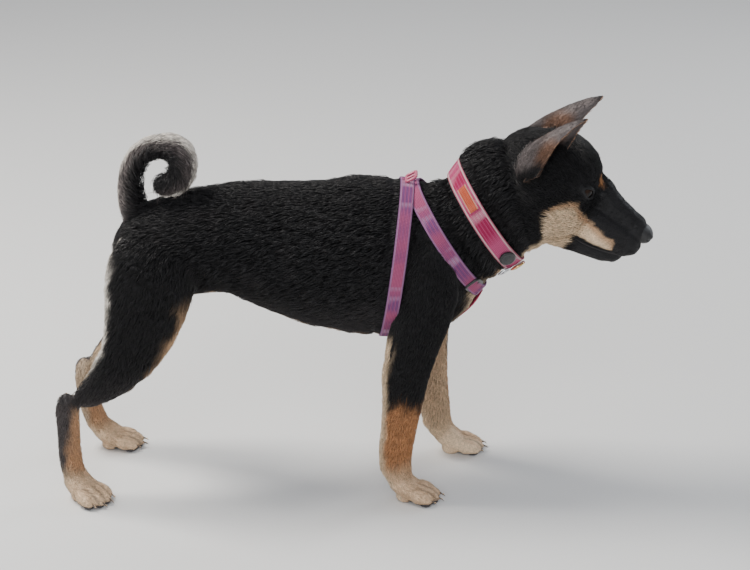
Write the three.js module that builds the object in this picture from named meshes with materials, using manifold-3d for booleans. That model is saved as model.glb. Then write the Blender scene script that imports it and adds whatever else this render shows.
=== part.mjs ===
// A young black and tan shiba inu that stands in profile, in a webbing collar and harness.
// Millimetres, +Z up, +X towards the nose, +Y towards the animal's own left.
// The outer faces are those of the coat, so the forms reach out to the tips of the fur.
import * as THREE from "three";
import { mergeVertices } from "three/addons/utils/BufferGeometryUtils.js";
import Module from "manifold-3d";

const wasm = await Module();
wasm.setup();

// Driving sizes
const GAP = 0.35; // between neighbouring sub-parts
const CHEST_HALF_WIDTH = 54;
const LOIN_HALF_WIDTH = 43;
const NECK_HALF_WIDTH = 42;
const SKULL_HALF_WIDTH = 46;
const HEAD_PLACE = new THREE.Vector3(170, 0, 290);
const HEAD_PITCH = THREE.MathUtils.degToRad(28);
const HEAD_YAW = THREE.MathUtils.degToRad(-3);
const EYE_RADIUS = 9;
const EYE_CENTRE = new THREE.Vector3(13.5, 24.5, 21.5);
const EYE_GAZE = new THREE.Vector3(0.7, 0.7, 0.1).normalize();
const LID_THICKNESS = 1.9;
const EAR_RADIUS = 21;
const EAR_THICKNESS = 3.4;
const TAIL_RADIUS = 11;
const COLLAR_WIDTH = 18;
const HARNESS_WIDTH = 13;
const WEBBING_THICKNESS = 2;

const COAT_BLACK = 0x17161a;
const COAT_TAN = 0xb4763f;
const COAT_CREAM = 0xd9c4a4;
const TAIL_GREY = 0x4c484c;
const NOSE_BLACK = 0x101012;
const EYE_BROWN = 0x1d120c;
const WEBBING_PINK = 0xc9406f;
const RING_STEEL = 0xc4c6c9;
const PLASTIC_BLACK = 0x141416;
const TAG_RED = 0xa8402e;

const vector = (x, y, z) => new THREE.Vector3(x, y, z);
const LEFT = vector(0, 1, 0);

// Closed geometry as a solid, turned the right way out.
function solid(geometry) {
  const bare = new THREE.BufferGeometry().setAttribute("position", geometry.getAttribute("position"));
  if (geometry.index) bare.setIndex(geometry.index);
  const merged = mergeVertices(bare, 1e-4);
  const faces = Uint32Array.from(merged.index.array);
  const vertProperties = Float32Array.from(merged.attributes.position.array);
  let signed = 0;
  const [a, b, c] = [vector(), vector(), vector()];
  for (let i = 0; i < faces.length; i += 3) {
    a.fromArray(vertProperties, faces[i] * 3);
    b.fromArray(vertProperties, faces[i + 1] * 3);
    c.fromArray(vertProperties, faces[i + 2] * 3);
    signed += a.dot(b.cross(c));
  }
  if (signed < 0)
    for (let i = 0; i < faces.length; i += 3) [faces[i + 1], faces[i + 2]] = [faces[i + 2], faces[i + 1]];
  return new wasm.Manifold(new wasm.Mesh({ numProp: 3, vertProperties, triVerts: faces }));
}

// A solid back as three.js geometry with flat faces.
function geometryOf(made) {
  const mesh = made.getMesh();
  const geometry = new THREE.BufferGeometry();
  geometry.setAttribute("position", new THREE.BufferAttribute(Float32Array.from(mesh.vertProperties), 3));
  geometry.setIndex(new THREE.BufferAttribute(Uint32Array.from(mesh.triVerts), 1));
  const flat = geometry.toNonIndexed();
  flat.computeVertexNormals();
  return flat;
}

const union = (...solids) => solids.reduce((all, one) => all.add(one));
const bySize = (made) => made.decompose().sort((p, q) => q.volume() - p.volume());
const largest = (made) => bySize(made)[0];

// Superellipse corner: 2 is round, more is boxier.
const corner = (value, square) => Math.sign(value) * Math.abs(value) ** (2 / square);

// A unit sphere bent into a closed tube along a smooth line. Each station is
// [x, y, z, half height, half width]; the half width lies along the axis named across.
function loft(stations, options = {}) {
  const { sides = 16, rings = 16, blunt = 8, across = LEFT, grow = 0, square = 2 } = options;
  const line = new THREE.CatmullRomCurve3(stations.map((s) => vector(s[0], s[1], s[2])));
  const sizes = new THREE.CatmullRomCurve3(stations.map((s) => vector(s[3], s[4], 0)), false, "catmullrom");
  const ball = new THREE.SphereGeometry(1, sides, rings);
  const place = ball.getAttribute("position");
  for (let i = 0; i < place.count; i++) {
    const y = THREE.MathUtils.clamp(place.getY(i), -1, 1);
    const t = (1 - y) / 2;
    const round = Math.sqrt(Math.max(0, 1 - Math.abs(y) ** blunt));
    const along = line.getTangent(t);
    const side = across.clone().addScaledVector(along, -across.dot(along)).normalize();
    const lift = along.clone().cross(side);
    const size = sizes.getPoint(t);
    const reach = Math.hypot(place.getX(i), place.getZ(i)) || 1;
    const point = line.getPoint(t).addScaledVector(along, -grow * y ** 9);
    point.addScaledVector(side, corner(place.getX(i) / reach, square) * round * (size.y + grow));
    point.addScaledVector(lift, corner(place.getZ(i) / reach, square) * round * (size.x + grow));
    place.setXYZ(i, point.x, point.y, point.z);
  }
  return solid(ball);
}

// An ellipsoid.
function egg(centre, radii, { sides = 14, rings = 10, grow = 0, turn = null } = {}) {
  const ball = new THREE.SphereGeometry(1, sides, rings);
  ball.scale(radii.x + grow, radii.y + grow, radii.z + grow);
  if (turn) ball.applyQuaternion(turn);
  ball.translate(centre.x, centre.y, centre.z);
  return solid(ball);
}

// A box between two corners, used to cut.
function block(low, high) {
  const size = high.clone().sub(low);
  const box = new THREE.BoxGeometry(size.x, size.y, size.z);
  const middle = low.clone().add(high).multiplyScalar(0.5);
  return solid(box.translate(middle.x, middle.y, middle.z));
}

// A thin wide slab at a point, square to a direction: the cut between two sub-parts.
function slab(point, direction, reach = 400) {
  const box = new THREE.BoxGeometry(reach, reach, GAP);
  box.applyQuaternion(new THREE.Quaternion().setFromUnitVectors(vector(0, 0, 1), direction.clone().normalize()));
  return solid(box.translate(point.x, point.y, point.z));
}

// Cuts a solid at a slab and gives the two largest pieces, the one further along the direction last.
function cutAt(made, point, direction, reach) {
  const pieces = bySize(made.subtract(slab(point, direction, reach))).slice(0, 2);
  const along = (piece) => {
    const box = piece.boundingBox();
    const middle = vector(
      (box.min[0] + box.max[0]) / 2,
      (box.min[1] + box.max[1]) / 2,
      (box.min[2] + box.max[2]) / 2,
    );
    return middle.dot(direction);
  };
  return pieces.sort((p, q) => along(p) - along(q));
}

const mirrored = (points, side) => points.map((p) => [p[0], p[1] * side, ...p.slice(2)]);
const FLOOR = block(vector(-600, -400, -100), vector(600, 400, 0));

// Torso: [x, top, bottom, half width]
const TORSO = [
  [-247, 264, 214, 24],
  [-232, 275, 198, 36],
  [-208, 281, 190, LOIN_HALF_WIDTH + 2],
  [-178, 290, 190, LOIN_HALF_WIDTH + 3],
  [-145, 300, 196, LOIN_HALF_WIDTH],
  [-112, 302, 185, LOIN_HALF_WIDTH + 2],
  [-76, 302, 169, CHEST_HALF_WIDTH - 4],
  [-40, 303, 156, CHEST_HALF_WIDTH],
  [-8, 308, 150, CHEST_HALF_WIDTH],
  [22, 303, 149, CHEST_HALF_WIDTH - 1],
  [50, 301, 151, CHEST_HALF_WIDTH - 4],
  [80, 286, 157, CHEST_HALF_WIDTH - 11],
  [108, 258, 176, CHEST_HALF_WIDTH - 22],
];

function torsoForm(grow = 0) {
  const stations = TORSO.map(([x, top, bottom, wide]) => [x, 0, (top + bottom) / 2, (top - bottom) / 2, wide]);
  return loft(stations, { sides: 20, rings: 17, blunt: 14, grow, square: 2.15 });
}

// Neck: stations square to its own line, [x, y, z, half depth, half width]
const NECK = [
  [18, 0, 232, 60, NECK_HALF_WIDTH + 2],
  [58, 0, 243, 60, NECK_HALF_WIDTH + 5],
  [102, 0, 264, 52, NECK_HALF_WIDTH],
  [123, 0, 288, 61, NECK_HALF_WIDTH + 2],
  [150, 0, 312, 53, NECK_HALF_WIDTH - 2],
];

const neckForm = (grow = 0) => loft(NECK, { sides: 20, rings: 12, blunt: 10, grow });

// Head, in its own frame: x along the skull towards the nose, z up. [x, top, bottom, half width]
const SKULL = [
  [-66, 30, -12, 26],
  [-52, 43, -30, 38],
  [-32, 53, -43, SKULL_HALF_WIDTH],
  [-12, 59, -49, SKULL_HALF_WIDTH],
  [5, 56, -46, SKULL_HALF_WIDTH - 5],
  [20, 47, -38, 32],
  [34, 34, -26, 22],
];
const BRIDGE = [
  [6, 44, 0, 21],
  [26, 40, -8, 17],
  [38, 33, -10, 14.5],
  [50, 27.5, -10, 13.2],
  [62, 24, -10, 12.8],
  [73, 20.5, -10, 12.8],
  [84, 15.5, -10, 12.5],
  [94, 10, -6, 9.5],
];
const FLEWS = [
  [4, 14, -22, 30],
  [26, 13, -26.5, 26],
  [38, 11, -27.5, 23.2],
  [50, 9, -27.5, 21],
  [62, 8, -26.5, 19.3],
  [73, 7, -24.5, 17.8],
  [84, 5, -20, 15.4],
  [92, 2, -10, 11],
];
const JAW = [
  [-26, -18, -40, 15],
  [2, -16, -47.5, 21.5],
  [28, -16, -44.5, 20.5],
  [46, -16, -41, 16.8],
  [60, -16, -39.5, 14.4],
  [72, -15, -36.5, 12],
  [82, -14, -28, 8.5],
];
const headStations = (table) =>
  table.map(([x, top, bottom, wide]) => [x, 0, (top + bottom) / 2, (top - bottom) / 2, wide]);

const headTurn = new THREE.Matrix4()
  .makeRotationZ(HEAD_YAW)
  .multiply(new THREE.Matrix4().makeRotationY(HEAD_PITCH));
const headMatrix = new THREE.Matrix4().makeTranslation(HEAD_PLACE).multiply(headTurn);
const inWorld = (made) => made.transform(headMatrix.toArray());

// The line where the lips meet, from the corners of the mouth to the front: [x, z].
const MOUTH_LINE = [
  [30, -25.4],
  [40, -26],
  [50, -26],
  [60, -25.2],
  [70, -23.6],
  [80, -20.8],
  [90, -17.6],
];
const MOUTH_DEPTH = 2.5;

function lipGroove() {
  const slit = MOUTH_LINE.map(([x, z]) => [x, 0, z, 0.6, 30]);
  const inside = FLEWS.slice(1).map(([x, , , wide]) => [x - 3, 0, -22, 12, wide - 3 - MOUTH_DEPTH]);
  const options = { sides: 10, rings: 8, blunt: 14 };
  return loft(slit, options).subtract(loft(inside, options));
}

function eyeCentre(side) {
  return vector(EYE_CENTRE.x, EYE_CENTRE.y * side, EYE_CENTRE.z);
}

// An almond prism that runs out from the eye along its gaze: the opening between the lids.
function lidOpening(side) {
  const [half, upper, lower] = [8.4, 4.6, 3.2];
  const almond = new THREE.Shape();
  almond.moveTo(-half, -1);
  almond.quadraticCurveTo(-1, upper * 1.9, half, 0.9);
  almond.quadraticCurveTo(1, -lower * 1.9, -half, -1);
  const prism = new THREE.ExtrudeGeometry(almond, { depth: 16, bevelEnabled: false, curveSegments: 5 });
  const gaze = vector(EYE_GAZE.x, EYE_GAZE.y * side, EYE_GAZE.z);
  const outward = vector(-EYE_GAZE.y, EYE_GAZE.x * side, 0).normalize();
  outward.addScaledVector(vector(0, 0, 1), 0.28).normalize();
  const up = gaze.clone().cross(outward).normalize();
  if (up.z < 0) up.negate();
  const frame = new THREE.Matrix4().makeBasis(outward, up, gaze);
  frame.setPosition(eyeCentre(side));
  prism.applyMatrix4(frame);
  return solid(prism);
}

const eyeBall = (side, grow = 0) =>
  egg(eyeCentre(side), vector(EYE_RADIUS, EYE_RADIUS, EYE_RADIUS), { sides: 14, rings: 9, grow });

// Nose leather with two comma nostrils.
function noseForm(grow = 0) {
  const pad = egg(vector(91.5, 0, 4.2), vector(8, 10.8, 8), { sides: 14, rings: 8, grow });
  const chin = egg(vector(90.5, 0, -2), vector(6, 5.5, 6), { sides: 8, rings: 5, grow });
  return pad.add(chin);
}

function nostril(side) {
  const stations = [
    [99, 4.6 * side, 3.6, 2.1, 2.1],
    [95, 5.4 * side, 3.8, 2.1, 2.1],
    [91, 8.2 * side, 2.6, 1.6, 1.2],
    [88, 11 * side, 1.2, 1.2, 0.8],
  ];
  return loft(stations, { sides: 6, rings: 6, across: vector(0, 0, 1) });
}

// Skull, muzzle, lower jaw and the cheeks that join them.
function headForm(grow = 0) {
  const skull = loft(headStations(SKULL), { sides: 20, rings: 12, blunt: 7, grow, square: 2.1 });
  const bridge = loft(headStations(BRIDGE), { sides: 12, rings: 10, blunt: 8, grow });
  const flews = loft(headStations(FLEWS), { sides: 16, rings: 10, blunt: 8, grow, square: 2.9 });
  const jaw = loft(headStations(JAW), { sides: 14, rings: 9, blunt: 8, grow });
  const cheeks = [1, -1].map((side) =>
    egg(vector(0, 25 * side, -6), vector(31, 15.5, 27), { sides: 12, rings: 8, grow }));
  return union(skull, bridge, flews, jaw, ...cheeks);
}

function headSolid() {
  const mounds = [1, -1].map((side) => eyeBall(side, LID_THICKNESS));
  let head = union(headForm(), ...mounds);
  for (const side of [1, -1]) {
    head = head.subtract(eyeBall(side, GAP)).subtract(lidOpening(side));
  }
  return largest(head.subtract(lipGroove()).subtract(noseForm(GAP)));
}

const noseSolid = () => largest(noseForm().subtract(nostril(1)).subtract(nostril(-1)));

// Ear: a cupped blade, wide at its root, with its hollow to the front. The lean turns it about the root.
const EARS = {
  left: { side: 1, root: vector(-36, 29, 30), tip: vector(-3, 37, 93), open: vector(1, 0.25, -0.3) },
  right: { side: -1, root: vector(-38, -31, 28), tip: vector(-21, -45, 87), open: vector(0.85, -0.55, -0.1) },
};

function earForm({ root, tip, open }) {
  const axis = tip.clone().sub(root);
  const length = axis.length();
  axis.normalize();
  const front = open.clone().addScaledVector(axis, -open.dot(axis)).normalize();
  const across = axis.clone().cross(front);
  const blade = new THREE.BoxGeometry(1, 1, 1, 12, 10, 1);
  const place = blade.getAttribute("position");
  const sunk = 0.45; // share of the length that lies under the scalp
  for (let i = 0; i < place.count; i++) {
    const u = place.getX(i) * 2;
    const v = place.getY(i) + 0.5;
    const inner = place.getZ(i) > 0;
    const share = v * (1 + sunk) - sunk;
    const narrow = Math.max(0, 1 - Math.max(share, 0)) ** 0.72;
    const radius = EAR_RADIUS * (0.09 + 0.91 * narrow) * (1 - (0.5 * Math.max(-share, 0)) / sunk);
    const spread = THREE.MathUtils.degToRad(118) * (0.62 + 0.38 * narrow);
    const wall = EAR_THICKNESS * (0.5 + 0.5 * narrow) * (1 - 0.45 * Math.abs(u) ** 3);
    const reach = radius - (inner ? wall : 0);
    const angle = u * spread;
    const bow = 3.5 * Math.sin(Math.PI * Math.min(1, Math.max(0, share)));
    const point = root.clone().addScaledVector(axis, share * length);
    point.addScaledVector(front, -Math.cos(angle) * reach + radius * 0.35 - bow);
    point.addScaledVector(across, Math.sin(angle) * reach * 1.08);
    place.setXYZ(i, point.x, point.y, point.z);
  }
  return solid(blade);
}

// Forelegs: [x, y, z, half depth fore and aft, half width]. The paw is apart.
const FORELEGS = {
  right: {
    side: -1,
    line: [
      [44, 34, 268, 22, 14],
      [50, 41, 238, 27, 18],
      [50, 45, 205, 28, 20],
      [42, 48, 176, 26, 18.5],
      [31, 51, 145, 25, 16],
      [27, 53.5, 108, 20.5, 14],
      [23, 55, 76, 17.5, 13],
      [19.5, 56, 50, 16.5, 13.5],
      [21, 57, 30, 15.5, 13],
      [30, 57.5, 14, 12, 13],
    ],
    paw: { x: 24, y: 57.5, turn: 8 },
    wrist: 33,
  },
  left: {
    side: 1,
    line: [
      [44, 34, 268, 22, 14],
      [50, 41, 238, 27, 18],
      [54, 45, 205, 28, 20],
      [53, 46, 176, 25, 18.5],
      [52, 45, 145, 22, 16],
      [54, 43.5, 108, 18, 14],
      [57, 42.5, 76, 16, 13],
      [60, 42, 50, 15.5, 13.5],
      [64, 42, 30, 14.5, 13],
      [74, 42, 14, 12, 13],
    ],
    paw: { x: 71, y: 42, turn: 6 },
    wrist: 33,
  },
};

const HINDLEGS = {
  right: {
    side: -1,
    thigh: [
      [-200, 24, 262, 36, 18],
      [-205, 32, 236, 43, 25],
      [-211, 37, 206, 42, 26],
      [-217, 42, 178, 37, 22],
      [-228, 47, 150, 30, 17.5],
      [-246, 50, 127, 22, 13.5],
      [-266, 51, 110, 16, 11],
      [-284, 52, 99, 12, 9.5],
    ],
    cannon: [
      [-292, 52, 111, 5.5, 6.5],
      [-291, 52, 96, 11.5, 9.5],
      [-291, 52.5, 72, 11, 10],
      [-291, 53, 48, 11, 10.5],
      [-289, 53, 28, 11.5, 11],
      [-282, 54, 13, 11, 12],
    ],
    paw: { x: -287, y: 53.5, turn: 34 },
    knee: vector(-244, 0, 131),
    heel: vector(-279, 0, 97),
    ankle: 27,
  },
  left: {
    side: 1,
    thigh: [
      [-200, 24, 262, 36, 18],
      [-205, 32, 236, 43, 25],
      [-211, 37, 206, 41, 26],
      [-218, 42, 176, 36, 22],
      [-230, 47, 146, 28, 17.5],
      [-248, 50, 120, 20, 13.5],
      [-267, 51, 101, 15, 11],
      [-283, 51, 89, 11.5, 9.5],
    ],
    cannon: [
      [-290, 51, 101, 5.5, 6.5],
      [-289, 51, 87, 11, 9.5],
      [-288, 51, 64, 11, 10],
      [-285, 51, 44, 11, 10.5],
      [-279, 51, 27, 11.5, 11],
      [-270, 51, 13, 11, 12],
    ],
    paw: { x: -273, y: 51, turn: 4 },
    knee: vector(-246, 0, 124),
    heel: vector(-277, 0, 87),
    ankle: 27,
  },
};

const foreLegForm = (leg, grow = 0) =>
  loft(mirrored(leg.line, leg.side), { sides: 14, rings: 16, blunt: 10, grow });

function hindLegForm(leg, grow = 0) {
  const thigh = loft(mirrored(leg.thigh, leg.side), { sides: 14, rings: 14, blunt: 8, grow });
  const cannon = loft(mirrored(leg.cannon, leg.side), { sides: 12, rings: 9, blunt: 8, grow });
  return union(thigh, cannon);
}

// Paw: four toes with claws round a main pad. Its own frame has x forward from the heel.
const TOES = [
  { across: -12.2, reach: 30, knuckle: 12 },
  { across: -4.4, reach: 36, knuckle: 14 },
  { across: 4.4, reach: 36, knuckle: 14 },
  { across: 12.2, reach: 30, knuckle: 12 },
];

function pawForm({ x, y, turn }, side) {
  const instep = loft([
    [-5, 0, 30, 12.5, 12.5],
    [2, 0, 18, 12.5, 14],
    [12, 0, 12, 11, 15],
    [22, 0, 10, 8, 14],
  ], { sides: 12, rings: 6, blunt: 6 });
  const mainPad = egg(vector(6, 0, 4), vector(11, 11.5, 5.5), { sides: 8, rings: 5 });
  const toes = TOES.map((toe) => loft([
    [9, toe.across * 0.75, 12, 6, 5.6],
    [toe.reach * 0.58, toe.across * 0.98, toe.knuckle - 2.5, 7.6, 6.2],
    [toe.reach * 0.85, toe.across * 1.06, 8, 6.6, 6.1],
    [toe.reach + 3, toe.across * 1.08, 4.6, 4.2, 4.6],
  ], { sides: 7, rings: 5, blunt: 6 }));
  const claws = TOES.map((toe) => loft([
    [toe.reach - 2, toe.across * 1.08, 7, 1.7, 1.5],
    [toe.reach + 5, toe.across * 1.1, 6.6, 1.4, 1.2],
    [toe.reach + 8, toe.across * 1.1, 4.4, 0.6, 0.6],
  ], { sides: 4, rings: 3, blunt: 4 }));
  const place = new THREE.Matrix4().makeTranslation(x, y * side, 0);
  place.multiply(new THREE.Matrix4().makeRotationZ(THREE.MathUtils.degToRad(turn * side)));
  const paw = union(instep, mainPad, ...toes, ...claws).translate(0, 0, -0.9);
  return paw.transform(place.toArray());
}

// Tail: curled up over the rump and back on itself, [x, y, z, radius].
const TAIL = [
  [-221, 0, 262, TAIL_RADIUS + 5],
  [-226, 0, 279, TAIL_RADIUS + 3],
  [-228, 0, 297, TAIL_RADIUS + 0.5],
  [-225, 0, 316, TAIL_RADIUS],
  [-215, 0, 331, TAIL_RADIUS],
  [-199, -1, 338, TAIL_RADIUS],
  [-182, -3, 335.5, TAIL_RADIUS + 3],
  [-176, -6, 321, TAIL_RADIUS + 2.5],
  [-181, -9, 307, TAIL_RADIUS + 2],
  [-193, -11, 302.5, TAIL_RADIUS + 1],
  [-203, -12, 305, TAIL_RADIUS - 1],
];

function tailForm(grow = 0) {
  const stations = TAIL.map(([x, y, z, radius]) => [x, y, z, radius, radius]);
  return loft(stations, { sides: 12, rings: 26, blunt: 14, grow });
}

// The limbs are let into the trunk down to a core that lies this deep under its surface.
const CORE_DEPTH = 15;

function limbForms() {
  const forms = [];
  for (const [name, leg] of Object.entries(FORELEGS))
    forms.push({ name, leg, fore: true, form: (grow) => foreLegForm(leg, grow) });
  for (const [name, leg] of Object.entries(HINDLEGS))
    forms.push({ name, leg, fore: false, form: (grow) => hindLegForm(leg, grow) });
  return forms;
}

// One limb and its paw, cut across the wrist or ankle, and a hind limb at the knee and heel too.
function limbNodes({ name, leg, fore, form }, core) {
  const whole = union(largest(form(0).subtract(core)), pawForm(leg.paw, leg.side)).subtract(FLOOR);
  const low = vector(leg.paw.x, leg.paw.y * leg.side, fore ? leg.wrist : leg.ankle);
  const [foot, upper] = cutAt(whole, low, vector(0, 0, 1));
  if (fore) return { ["foreleg_" + name]: upper, ["forepaw_" + name]: foot };
  const [lower, thigh] = cutAt(upper, leg.knee, vector(0.72, 0, 0.69));
  const [hock, shank] = cutAt(lower, leg.heel, vector(0.9, 0, 0.45));
  return {
    ["thigh_" + name]: thigh,
    ["shank_" + name]: shank,
    ["hock_" + name]: hock,
    ["hindpaw_" + name]: foot,
  };
}

// The trunk and the head are joined, then parted with thin cuts at the shoulder and behind the jaw.
function fleshNodes() {
  const limbs = limbForms();
  let trunk = torsoForm().add(neckForm());
  for (const limb of limbs) trunk = trunk.subtract(limb.form(GAP));
  trunk = trunk.add(torsoForm(-CORE_DEPTH)).subtract(tailForm(GAP));
  const headCut = vector(134, 0, 290);
  const headAway = vector(0.96, 0, 0.28);
  const shoulderCut = vector(78, 0, 250);
  const shoulderAway = vector(0.86, 0, 0.51);
  const [torso, rest] = cutAt(largest(trunk), shoulderCut, shoulderAway);
  const [neck, nape] = cutAt(rest, headCut, headAway);
  const face = cutAt(inWorld(headSolid()), headCut, headAway)[1];
  const openings = [inWorld(noseForm(GAP)), inWorld(eyeBall(1, GAP)), inWorld(eyeBall(-1, GAP))];
  const head = largest(openings.reduce((whole, part) => whole.subtract(part), face.add(nape)));
  const nodes = { torso, neck, head };
  const core = torsoForm(GAP - CORE_DEPTH);
  for (const limb of limbs) Object.assign(nodes, limbNodes(limb, core));
  const [base, curl] = cutAt(tailForm(), vector(-221, 0, 323), vector(0.62, 0, 0.78), 46);
  const [tip, middle] = cutAt(curl, vector(-175, -6, 318), vector(-0.1, 0, 1), 34);
  return Object.assign(nodes, { tail_base: base, tail_middle: middle, tail_tip: tip });
}

const flesh = fleshNodes();
const headGrown = inWorld(headForm(GAP));
for (const [name, ear] of Object.entries(EARS))
  flesh["ear_" + name] = largest(inWorld(earForm(ear)).subtract(headGrown).subtract(neckForm(GAP)));
flesh.nose = inWorld(noseSolid());
flesh.eye_left = inWorld(eyeBall(1));
flesh.eye_right = inWorld(eyeBall(-1));

// Rays run in towards a centre from outside to find the surface of the body there.
const CAST_FROM = 300;
const rays = new THREE.Raycaster();
const uncut = new THREE.Mesh(
  geometryOf(torsoForm().add(neckForm())),
  new THREE.MeshBasicMaterial({ side: THREE.DoubleSide }),
);
uncut.updateMatrixWorld(true);

function bodyRadius(centre, direction) {
  rays.set(centre.clone().addScaledVector(direction, CAST_FROM), direction.clone().negate());
  const hits = rays.intersectObject(uncut);
  return hits.length ? CAST_FROM - hits[0].distance : 0;
}

// Webbing on the body, closed round it or between two angles in the plane square to its width.
// It presses into the coat by this much, with hollows bridged as a tight strap bridges them.
const SUNK = 1;

function direction({ normal, start }, angle) {
  const turned = start.clone().cross(normal).normalize();
  const radians = THREE.MathUtils.degToRad(angle);
  return start.clone().multiplyScalar(Math.cos(radians)).addScaledVector(turned, Math.sin(radians));
}

function webbing(band, grow = 0) {
  const { centre, normal, width, from = 0, to = 360, steps } = band;
  const closed = to - from >= 360;
  const count = closed ? steps : steps + 1;
  const pitch = (to - from) / steps;
  const edges = (half) => [-half, half].map((shift) => centre.clone().addScaledVector(normal, shift));
  const middles = edges(width / 2 + grow);
  const nearby = [-0.4, -0.2, 0, 0.2, 0.4];
  const measured = edges(width / 2).map((middle) =>
    Array.from({ length: count }, (_, i) =>
      Math.max(...nearby.map((shift) => bodyRadius(middle, direction(band, from + (i + shift) * pitch))))));
  const nearest = (i) => (closed ? (i + count) % count : Math.min(count - 1, Math.max(0, i)));
  const bridged = measured.map((list) =>
    list.map((value, i) =>
      Math.max(value, ...[1, 2, 3].map((step) => (list[nearest(i - step)] + list[nearest(i + step)]) / 2))));
  const corners = [];
  for (let i = 0; i < count; i++) {
    const away = direction(band, from + i * pitch);
    for (const [edge, out] of [[0, 0], [1, 0], [1, 1], [0, 1]]) {
      const height = bridged[edge][i] - SUNK + out * WEBBING_THICKNESS + (out * 2 - 1) * grow;
      corners.push(middles[edge].clone().addScaledVector(away, height));
    }
  }
  const faces = [];
  const quad = (a, b, c, d) => faces.push(a, b, c, a, c, d);
  for (let i = 0; i < (closed ? count : count - 1); i++)
    for (let k = 0; k < 4; k++) {
      const [here, next, beside] = [i * 4, ((i + 1) % count) * 4, (k + 1) % 4];
      quad(here + k, here + beside, next + beside, next + k);
    }
  const last = (count - 1) * 4;
  if (!closed) {
    quad(3, 2, 1, 0);
    quad(last, last + 1, last + 2, last + 3);
  }
  const geometry = new THREE.BufferGeometry().setFromPoints(corners);
  geometry.setIndex(faces);
  return solid(geometry);
}

// Angles run from the nape or the withers, and are negative on the near side.
const COLLAR = {
  centre: vector(105, 0, 266),
  normal: vector(0.836, 0, 0.548),
  start: vector(-0.548, 0, 0.836),
  width: COLLAR_WIDTH,
  steps: 32,
};
const NECK_LOOP = {
  centre: vector(69, 0, 247),
  normal: vector(0.84, 0, 0.543),
  start: vector(-0.543, 0, 0.84),
  width: HARNESS_WIDTH,
  steps: 32,
};
const GIRTH = {
  centre: vector(20, 0, 226),
  normal: vector(0.991, 0, -0.131),
  start: vector(0.131, 0, 0.991),
  width: HARNESS_WIDTH,
  steps: 32,
};
const BREAST = {
  centre: vector(50, 0, 225),
  normal: vector(0, 1, 0),
  start: vector(0, 0, -1),
  width: HARNESS_WIDTH,
  from: -32,
  to: 62,
  steps: 14,
};

// A flat fitting on a strap: a block with bevelled corners, its thickness outwards.
function plate({ band, angle, size, lift, bevel }, grow = 0) {
  const outline = new THREE.Shape();
  const [a, b] = [size.x / 2 + grow, size.y / 2 + grow];
  outline.moveTo(-a + bevel, -b);
  outline.lineTo(a - bevel, -b).lineTo(a, -b + bevel).lineTo(a, b - bevel);
  outline.lineTo(a - bevel, b).lineTo(-a + bevel, b).lineTo(-a, b - bevel).lineTo(-a, -b + bevel);
  const block = new THREE.ExtrudeGeometry(outline, { depth: size.z + 2 * grow, bevelEnabled: false });
  const away = direction(band, angle);
  const height = bodyRadius(band.centre, away) - SUNK + WEBBING_THICKNESS + lift - grow;
  const run = away.clone().cross(band.normal).normalize();
  const frame = new THREE.Matrix4().makeBasis(run, away.clone().cross(run).normalize(), away);
  frame.setPosition(band.centre.clone().addScaledVector(away, height));
  return solid(block.applyMatrix4(frame));
}

// A ring or a disc that lies along the surface by a band, at an angle and shifted along its normal.
function hung(geometry, { band, angle, shift, lift }) {
  const away = direction(band, angle);
  const place = band.centre.clone().addScaledVector(band.normal, shift);
  place.addScaledVector(away, bodyRadius(place, away) + lift);
  geometry.applyQuaternion(new THREE.Quaternion().setFromUnitVectors(vector(0, 0, 1), away));
  return solid(geometry.translate(place.x, place.y, place.z));
}

const FITTINGS = {
  harness_slider: { band: NECK_LOOP, angle: 2, size: vector(22, 17, 3), lift: -0.5, bevel: 3 },
  chest_slider: { band: NECK_LOOP, angle: -142, size: vector(19, 17, 3), lift: -0.5, bevel: 2.5 },
  collar_buckle: { band: COLLAR, angle: -131, size: vector(20, 15, 4), lift: -0.5, bevel: 4.5 },
};

const rooms = [GIRTH, NECK_LOOP, COLLAR, BREAST].map((band) => webbing(band, GAP));
const gear = { collar: webbing(COLLAR), harness_girth: webbing(GIRTH) };
gear.harness_neck = webbing(NECK_LOOP).subtract(rooms[0]);
gear.harness_breast = webbing(BREAST).subtract(rooms[0]).subtract(rooms[1]);
const straps = union(...rooms);
for (const [name, fitting] of Object.entries(FITTINGS)) gear[name] = plate(fitting).subtract(straps);
// A split ring and a bare disc with its own small ring hang on the collar's edge.
const RING_RADIUS = 6;
const TAG_RADIUS = 7;
const OVER_STRAP = WEBBING_THICKNESS - SUNK + GAP + 0.5;
const ringWire = new THREE.TorusGeometry(RING_RADIUS, 1, 6, 14);
const tagWire = new THREE.TorusGeometry(3, 0.8, 5, 10);
const disc = new THREE.CylinderGeometry(TAG_RADIUS, TAG_RADIUS, 1.6, 16).rotateX(Math.PI / 2);
gear.collar_ring = hung(ringWire, { band: COLLAR, angle: -150, shift: -11, lift: OVER_STRAP + 1.1 });
const tagPlace = { band: COLLAR, angle: -169, shift: 1, lift: OVER_STRAP + 1.3 };
gear.name_tag = hung(disc, tagPlace).add(hung(tagWire, { ...tagPlace, angle: -160, shift: -3 }));
for (const name of ["collar_ring", "name_tag"]) gear[name] = largest(gear[name].subtract(straps));
const worn = union(straps, ...Object.values(FITTINGS).map((fitting) => plate(fitting, GAP)));
for (const name of ["torso", "neck", "foreleg_left", "foreleg_right"])
  flesh[name] = largest(flesh[name].subtract(worn));

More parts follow.
